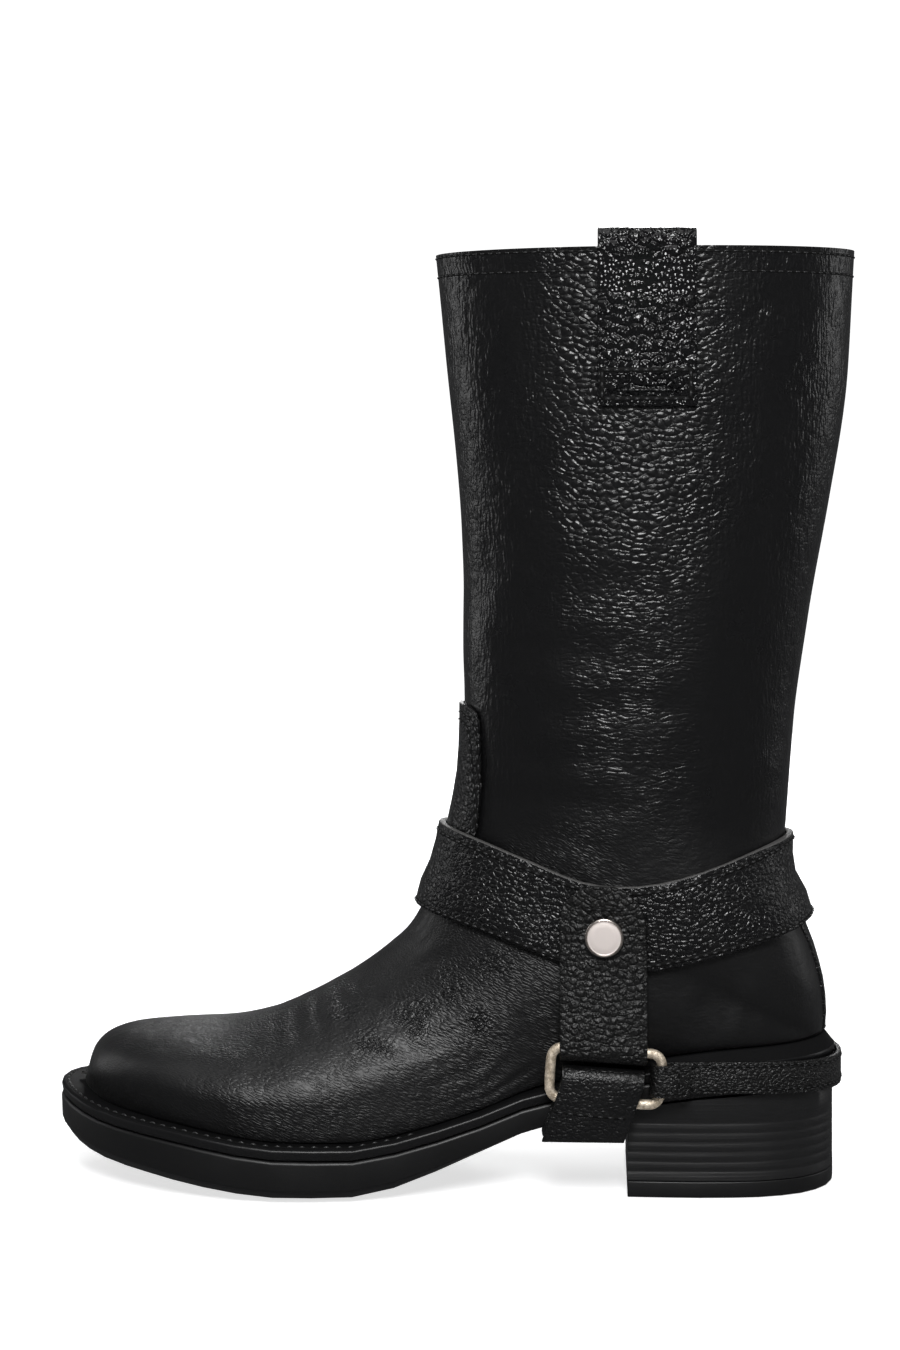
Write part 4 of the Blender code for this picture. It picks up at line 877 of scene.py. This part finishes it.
def softened(name, node, finish, width, smooth=0, sharp=38, top=None):
    """A CAD piece whose edges, where they are sharper than an angle in degrees, are rounded by a small bevel.
    Its upward faces have the finish top if there is one, and smooth is how often the piece is subdivided."""
    shape = bmesh.new()
    shape.from_mesh(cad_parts[node].data)
    bmesh.ops.remove_doubles(shape, verts=shape.verts, dist=GAP / 15)
    bmesh.ops.recalc_face_normals(shape, faces=shape.faces)
    bmesh.ops.dissolve_limit(shape, angle_limit=math.radians(0.25), verts=shape.verts, edges=shape.edges)
    if width:
        least = math.radians(sharp)
        edges = [e for e in shape.edges if len(e.link_faces) == 2 and e.calc_face_angle(0) > least]
        bmesh.ops.bevel(shape, geom=edges, offset=width, segments=3, profile=0.5, affect="EDGES",
                        clamp_overlap=True)
    mesh = bpy.data.meshes.new(name)
    shape.to_mesh(mesh)
    shape.free()
    mesh.materials.append(finish)
    # The finish top goes on upward faces only, where it paints light or shade.
    if top:
        mesh.materials.append(top)
        for face in mesh.polygons:
            face.material_index = int(face.normal.z > 0.6)
    mesh.shade_smooth()
    mesh.set_sharp_from_angle(angle=math.radians(48))
    made = bpy.data.objects.new(name, mesh)
    bpy.context.scene.collection.objects.link(made)
    if smooth:
        round_off = made.modifiers.new("round", "SUBSURF")
        round_off.levels = round_off.render_levels = smooth
    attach(made, "root")
    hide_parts(node)
    return made


def shallower(made, share):
    """Fills the heel's grooves by a share of their depth, because on a dressed heel they show only softly."""
    shape = bmesh.new()
    shape.from_mesh(made.data)
    moved = {}
    for vertex in shape.verts:
        near = [edge.other_vert(vertex).co for edge in vertex.link_edges]
        steep = [co for co in near if abs(co.z - vertex.co.z) > 2 * (co - vertex.co).xy.length
                 or 0 < abs(co.z - vertex.co.z) < 2 * GAP]
        above = [co for co in steep if co.z > vertex.co.z + GAP / 3]
        below = [co for co in steep if co.z < vertex.co.z - GAP / 3]
        if above and below:
            middle = (above[0] + below[0]) / 2
            moved[vertex] = vertex.co.lerp(Vector((middle.x, middle.y, vertex.co.z)), share)
    for vertex, place in moved.items():
        vertex.co = place
    shape.to_mesh(made.data)
    shape.free()


def lay_on(made, tree, thick):
    """Moves a thin strip at the back along X so that it lies on the skin all the way."""
    for vertex in made.data.vertices:
        found = hit(tree, (-OFF, vertex.co.y, vertex.co.z), (1, 0, 0))
        if found is not None:
            outward = max(-vertex.normal.x, 0.0)
            vertex.co.x = found[0][0] + GAP - outward * (thick + GAP)


def shade_strip_under(run, half_width):
    """The strip of painted shade under one run of stitches, as points and faces."""
    spots, ups = (np.array(values) for values in zip(*run))
    asides = np.cross(np.gradient(spots, axis=0), ups)
    asides *= half_width / np.linalg.norm(asides, axis=1)[:, None]
    points = [spot + share * aside + lift * MM * up
              for spot, aside, up in zip(spots, asides, ups) for share, lift in SHADE_STRIP]
    wide = len(SHADE_STRIP)
    faces = [(near, near + 1, near + 1 + wide, near + wide)
             for index in range(len(spots) - 1) for near in range(index * wide, (index + 1) * wide - 1)]
    return points, faces


def grain_of_thread(centre, way, up, length, thick):
    """One stitch: a small bent grain of thread whose ends go down into the leather, as points and faces."""
    aside = np.cross(way, up)
    points = []
    for share, girth, lift in STITCH:
        spine = centre + way * share * length / 2 + up * lift * thick
        for corner in range(STITCH_SIDES):
            angle = 2 * math.pi * corner / STITCH_SIDES
            points.append(spine + girth * thick / 2 * (math.cos(angle) * aside + math.sin(angle) * up))
    faces = []
    for ring in range(len(STITCH) - 1):
        for corner in range(STITCH_SIDES):
            after = (corner + 1) % STITCH_SIDES
            here, there = ring * STITCH_SIDES, (ring + 1) * STITCH_SIDES
            faces.append((here + corner, here + after, there + after, there + corner))
    faces.append(tuple(reversed(range(STITCH_SIDES))))
    faces.append(tuple(range(len(points) - STITCH_SIDES, len(points))))
    return points, faces


def stitches(name, runs, slot, finish, shade_strip=None, long_mm=2.3, apart_mm=0.9, thick_mm=0.62):
    """Rows of sewn stitches: each run is a list of places (point, normal), over a painted shade strip if
    given.
    """
    points, faces, picks = [], [], []

    def take(new, pick):
        """Adds points and faces of one finish to the piece."""
        start = len(points)
        points.extend(new[0])
        faces.extend(tuple(start + corner for corner in face) for face in new[1])
        picks.extend([pick] * len(new[1]))

    for run in runs:
        spots, ups = (np.array(values) for values in zip(*run))
        if shade_strip:
            take(shade_strip_under(run, thick_mm * MM), 1)
        gone = np.concatenate([[0], np.cumsum(np.linalg.norm(np.diff(spots, axis=0), axis=1))])

        def read(values, at):
            return np.array([np.interp(at, gone, row) for row in values.T])

        count = max(int(gone[-1] / ((long_mm + apart_mm) * MM)), 1)
        for middle in (np.arange(count) + 0.5) * gone[-1] / count:
            way = read(spots, middle + STITCH_REACH) - read(spots, middle - STITCH_REACH)
            up = read(ups, middle)
            way /= np.linalg.norm(way)
            up /= np.linalg.norm(up)
            take(grain_of_thread(read(spots, middle), way, up, long_mm * MM, thick_mm * MM), 0)
    return piece(name, points, faces, [finish, shade_strip or finish], picks)


def run_of(tree, starts_and_ways):
    """The places where rays meet a piece, in their order."""
    return [spot for spot in (hit(tree, start, way) for start, way in starts_and_ways) if spot is not None]


def side_run(tree, corners, side, count=60):
    """Places on one side of a piece under a broken line of x and z in mm."""
    corners = np.array(corners, float) * MM
    gone = np.concatenate([[0], np.cumsum(np.linalg.norm(np.diff(corners, axis=0), axis=1))])
    fine = np.linspace(0, gone[-1], count)
    places = zip(np.interp(fine, gone, corners[:, 0]), np.interp(fine, gone, corners[:, 1]))
    return run_of(tree, [((x, side * OFF, z), (0, -side, 0)) for x, z in places])


def edge_rows(tree, stations, low, high, inset, step=0.0004, fewest=8):
    """Two runs, a little inside the lower and the upper edge of a band. Stations are (x, y, way), and one
    where fewer rays than fewest meet the band is left out."""
    rows = [[], []]
    for x, y, way in stations:
        spots = run_of(tree, [((x, y, z), way) for z in np.arange(low, high, step)])
        if len(spots) < fewest:
            continue
        bottom, top = spots[0][0][2], spots[-1][0][2]
        for row, z in zip(rows, (bottom + inset, top - inset)):
            row.extend(run_of(tree, [((x, y, z), way)]))
    return rows


def ray_round(axis_x, angle, z, off=0.3):
    """A level ray from outside to an upright axis, as start and way."""
    way = np.array([math.cos(angle), math.sin(angle), 0.0])
    return np.array([axis_x, 0.0, z]) + way * off, -way


def strap_height(angle):
    """Height of the ankle strap's middle, which dips at both sides."""
    side, front, back, dip = 0.090, 0.1065, 0.1045, 2.4
    end = front if math.cos(angle) > 0 else back
    return side + (end - side) * abs(math.cos(angle)) ** dip


def build_rivet(word, side, finish, rim_finish):
    """Flat cap, turned from one profile: satin face, a fine groove and a polished rim."""
    low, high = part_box("rivet_" + word)
    middle_x, middle_z = (low[0] + high[0]) / 2, (low[2] + high[2]) / 2
    foot = low[1] if side > 0 else high[1]
    radius = (high[0] - low[0]) / 2
    count, rings = RIVET_SIDES, len(RIVET_PROFILE) - 1
    points = [(middle_x, foot + side * RIVET_HEIGHT * RIVET_PROFILE[0][1], middle_z)]
    for share, lift in RIVET_PROFILE[1:]:
        for step in range(count):
            angle = 2 * math.pi * step / count
            points.append((middle_x + radius * share * math.cos(angle), foot + side * RIVET_HEIGHT * lift,
                           middle_z + radius * share * math.sin(angle)))
    faces = [(0, 1 + step, 1 + (step + 1) % count) for step in range(count)]
    picks = [0] * count
    for ring in range(rings - 1):
        for step in range(count):
            after = (step + 1) % count
            here, there = 1 + ring * count, 1 + (ring + 1) * count
            faces.append((here + step, there + step, there + after, here + after))
            picks.append(int(ring >= RIVET_RIM_FROM))
    faces.append(tuple(range(1 + (rings - 1) * count, 1 + rings * count)))
    picks.append(0)
    made = piece("rivet_cap_" + word, points, faces, [finish, rim_finish], picks)
    face_out(made, 40)
    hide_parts("rivet_" + word)


def area_light(name, place, aim, size, power):
    """A white soft box that faces a point."""
    data = bpy.data.lights.new(name, "AREA")
    data.shape = "RECTANGLE"
    data.size, data.size_y = size
    data.energy = power
    made = bpy.data.objects.new(name, data)
    made.location = place
    made.rotation_euler = (Vector(aim) - Vector(place)).to_track_quat("-Z", "Y").to_euler()
    bpy.context.scene.collection.objects.link(made)


def stage_piece(name, shape, finish, height, backdrop):
    """A part of the studio, which the leather's shine doesn't show, as black flags would keep it out."""
    mesh = bpy.data.meshes.new(name)
    shape.to_mesh(mesh)
    shape.free()
    mesh.materials.append(finish)
    made = bpy.data.objects.new(name, mesh)
    made.location = (STUDIO_X, 0.0, height)
    made.visible_glossy = False
    made.visible_diffuse = not backdrop
    made.visible_shadow = not backdrop
    bpy.context.scene.collection.objects.link(made)


def build_studio():
    """A glowing floor, whose glow is painted light, in an evenly white room, a soft box high over the camera,
    one behind, two strips, and a large light overhead."""
    table, room = bmesh.new(), bmesh.new()
    bmesh.ops.create_circle(table, cap_ends=True, segments=96, radius=TABLE_RADIUS)
    bmesh.ops.create_icosphere(room, subdivisions=4, radius=ROOM_RADIUS)
    # The floor's glow is painted light: it is no lamp, and it glows less round the boot than further out.
    stage_piece("glowing_floor", table, glowing_floor(), -TABLE_BELOW, False)
    stage_piece("white_room", room, backdrop_glow(), 0.0, True)
    for name, place, aim, size, power in LIGHTS:
        area_light(name, place, aim, size, power)
    world = bpy.data.worlds.new("studio_air")
    bpy.context.scene.world = world
    world.use_nodes = True
    world.node_tree.nodes["Background"].inputs["Color"].default_value = linear("#f0f1f3")
    world.node_tree.nodes["Background"].inputs["Strength"].default_value = 0.10


def build_camera():
    """Level camera at mid-shaft height, outer side of the boot, the toe turned a little away."""
    data = bpy.data.cameras.new("camera")
    data.sensor_width = 36.0
    data.lens = data.sensor_width * CAMERA_FAR / (PIXEL * PHOTO_ROWS)
    data.shift_y = (GROUND_ROW - CAMERA_HIGH / PIXEL - PHOTO_ROWS / 2) / PHOTO_ROWS
    data.clip_start = 0.01
    made = bpy.data.objects.new("camera", data)
    bpy.context.scene.collection.objects.link(made)
    spin = Matrix.Rotation(CAMERA_TURN, 3, "Z")
    faces_back = Matrix(((-1, 0, 0), (0, 0, 1), (0, 1, 0)))
    place = Matrix.Translation(spin @ Vector((CAMERA_X, CAMERA_FAR, CAMERA_HIGH)))
    made.matrix_world = place @ (spin @ faces_back).to_4x4()
    bpy.context.scene.camera = made


def build_sole():
    """Welt, outsole and stacked heel: the welt comes back for its stitches."""
    welt_finish = sole_rubber("welt rubber", "#101011", 0.36, specular=0.3)
    # The welt's upward faces get darker, duller rubber: painted shade on the welt's top.
    welt_top_painted_shade = sole_rubber("welt top with painted shade", "#0b0b0c", 0.66, specular=0.1)
    outsole_finish = sole_rubber("outsole rubber", "#0b0b0c", 0.44)
    heel_finish = sole_rubber("stacked heel", "#121213", 0.46, 0.9)
    welt = softened("welt_strip", "welt", welt_finish, EDGE_ROUND, top=welt_top_painted_shade)
    softened("outsole_plate", "outsole", outsole_finish, SOLE_ROUND)
    shallower(softened("heel_stack", "heel_block", heel_finish, 0), GROOVES_FILLED)
    softened("heel_top_piece", "heel_lift", outsole_finish, EDGE_ROUND)
    return welt


def build_bands():
    """Straps and overlays that go round or over the boot, by their CAD nodes' names."""
    strap = strap_leather("glossy strap leather", "#0b0b0c", 1.9, 0.30, 0.27)
    narrow = strap_leather("narrow strap leather", "#0c0c0c", 1.3, 0.28, 0.38)
    under = strap_leather("smooth strap leather", "#0a0a0b", 1.6, 0.16, 0.40)
    # The greyer raw-edge finish goes on the strap's upward faces only: a painted highlight along its top
    # edge.
    made = {"ankle_strap": softened("ankle_strap_leather", "ankle_strap", strap, EDGE_ROUND,
                                    top=raw_edge_painted_highlight())}
    for node, finish, width, slot in (("vamp_tongue", strap, THIN_EDGE_ROUND, "upper_leather"),
                                      ("backstay", strap, THIN_EDGE_ROUND, "upper_leather"),
                                      ("heel_strap", narrow, THIN_EDGE_ROUND, "harness_leather"),
                                      ("arch_strap", under, EDGE_ROUND, "harness_leather")):
        made[node] = softened(node + "_leather", node, finish, width)
    return made


def build_sides():
    """Drop strap, pull loop, cast ring and rivet of both sides: the leather comes back by its CAD nodes'
    names. The rivets are nickel-plated brass: the cap's face is brushed and lacquered, a soft pinkish grey,
    and its rim is rubbed bright."""
    drop = strap_leather("dry harness leather", "#0c0c0c", 2.3, 0.50, 0.42)
    loop = strap_leather("glossy loop leather", "#0b0b0c", 3.3, 0.85, 0.17, LOOP_PRESSED)
    ring_metal = cast_ring_metal()
    cap = nickel("satin nickel plate", "#f3e9e4", 2.0, 5.0, 0.48, 0.58, 0.7)
    rim = nickel("polished nickel rim", "#d8cfc8", 0.8, 4.0, 0.12, 0.34, 1.0)
    made = {}
    for word, side in SIDES:
        for kind, finish, slot in (("drop_strap_", drop, "harness_leather"),
                                   ("pull_loop_", loop, "strap_leather")):
            made[kind + word] = softened(kind + "leather_" + word, kind + word, finish, EDGE_ROUND)
        softened("cast_ring_" + word, "ring_" + word, ring_metal, 0, smooth=2)
        build_rivet(word, side, cap, rim)
    return made


def heel_stations():
    """Level rays at the heel strap, from the outer side round the back to the inner side, as (x, y, way)."""
    along = np.linspace(HEEL_STRAP_RUN, 0.0, 16)
    rays = [(x, OFF, (0, -1, 0)) for x in along]
    for angle in np.linspace(math.pi / 2, 1.5 * math.pi, 90)[1:-1]:
        start, way = ray_round(0.0, angle, 0.0)
        rays.append((start[0], start[1], way))
    return rays + [(x, -OFF, (0, 1, 0)) for x in along[::-1]]


def welt_seam():
    """Rays straight down on the welt's seam, from the inner side round the toe to the outer side."""
    places = [edge(turn, WELT_INSET) for turn in np.linspace(-WELT_TURN, WELT_TURN, 400)]
    return [((float(x), float(y), OFF), (0, 0, -1)) for x, y in places if x > WELT_SEWN_FROM]


def sew(skin, straps, welt):
    """Every row of stitches, in black thread over a strip of painted shade. The fold at the foot of each pull
    loop is made like one long stitch, of leather and without a shade strip."""
    trees = {node: tree_of(made) for node, made in straps.items()}
    skin_tree = tree_of(skin)
    turns = np.linspace(0, 2 * math.pi, 181)

    def both(kind, *rows, count=60):
        """The same rows on both sides of the boot."""
        return [side_run(trees.get(kind) or trees[kind + "_" + word], row, side, count)
                for word, side in SIDES for row in rows]

    collar = [run_of(skin_tree, [ray_round(LEG_AXIS, a, BOOT_HEIGHT - below) for a in turns])
              for below in COLLAR_ROWS]
    ankle = [run_of(trees["ankle_strap"], [ray_round(STRAP_AXIS, a, strap_height(a) + off) for a in turns])
             for off in STRAP_ROWS]
    low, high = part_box("backstay")
    heights = np.linspace(low[2], high[2], 60)
    back = [run_of(trees["backstay"], [((-OFF, y, z), (1, 0, 0)) for z in heights])
            for y in (high[1] - NARROW_INSET, low[1] + NARROW_INSET)]
    heel = edge_rows(trees["heel_strap"], heel_stations(), *HEEL_STRAP_ZONE, NARROW_INSET)
    # The stitches lie on a dull dark strip of painted shade, in place of a groove's shade.
    sewn = (thread(), painted_shade_strip_finish())
    fold = (straps["ankle_strap"].data.materials[0], None)
    for name, runs, slot, finishes, sizes in (
            ("collar_stitches", collar, "upper_leather", sewn, (2.3, 0.9, 0.5)),
            ("ankle_strap_stitches", ankle, "strap_leather", sewn, (2.3, 0.9, 0.75)),
            ("tongue_stitches", both("vamp_tongue", *TONGUE_ROWS), "upper_leather", sewn, (2.3, 0.9, 0.75)),
            ("pull_loop_stitches", both("pull_loop", LOOP_BOX, count=120), "strap_leather", sewn,
             (2.3, 0.9, 0.85)),
            ("pull_loop_folds", both("pull_loop", LOOP_FOLD), "strap_leather", fold, (25.0, 1.0, 1.3)),
            ("drop_strap_stitches", both("drop_strap", DROP_ROW), "harness_leather", sewn, (2.3, 0.9, 0.62)),
            ("arch_strap_stitches", both("arch_strap", ARCH_ROW), "harness_leather", sewn, (2.3, 0.9, 0.62)),
            ("backstay_stitches", back, "upper_leather", sewn, (2.3, 0.9, 0.62)),
            ("heel_strap_stitches", heel, "harness_leather", sewn, (2.0, 0.8, 0.5)),
            ("heel_strap_end_stitches", both("heel_strap", HEEL_STRAP_END), "harness_leather", sewn,
             (1.8, 0.6, 0.5)),
            ("welt_stitches", [run_of(tree_of(welt), welt_seam())], "welt_rubber", sewn, (2.6, 1.4, 0.7))):
        stitches(name, runs, slot, *finishes, *sizes)


def main():
    """Upper, straps, metal and sole, then the stitches, the studio and the camera."""
    soft_lining = lining()
    skin = build_skin(upper_leather(), soft_lining)
    straps = build_bands()
    lay_on(straps["backstay"], tree_of(skin), BACKSTAY_THICK)
    straps.update(build_sides())
    welt = build_sole()
    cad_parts["insole"].data.materials.clear()
    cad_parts["insole"].data.materials.append(soft_lining)
    sew(skin, straps, welt)
    build_studio()
    build_camera()


main()
bpy.context.scene.view_settings.view_transform = "Standard"
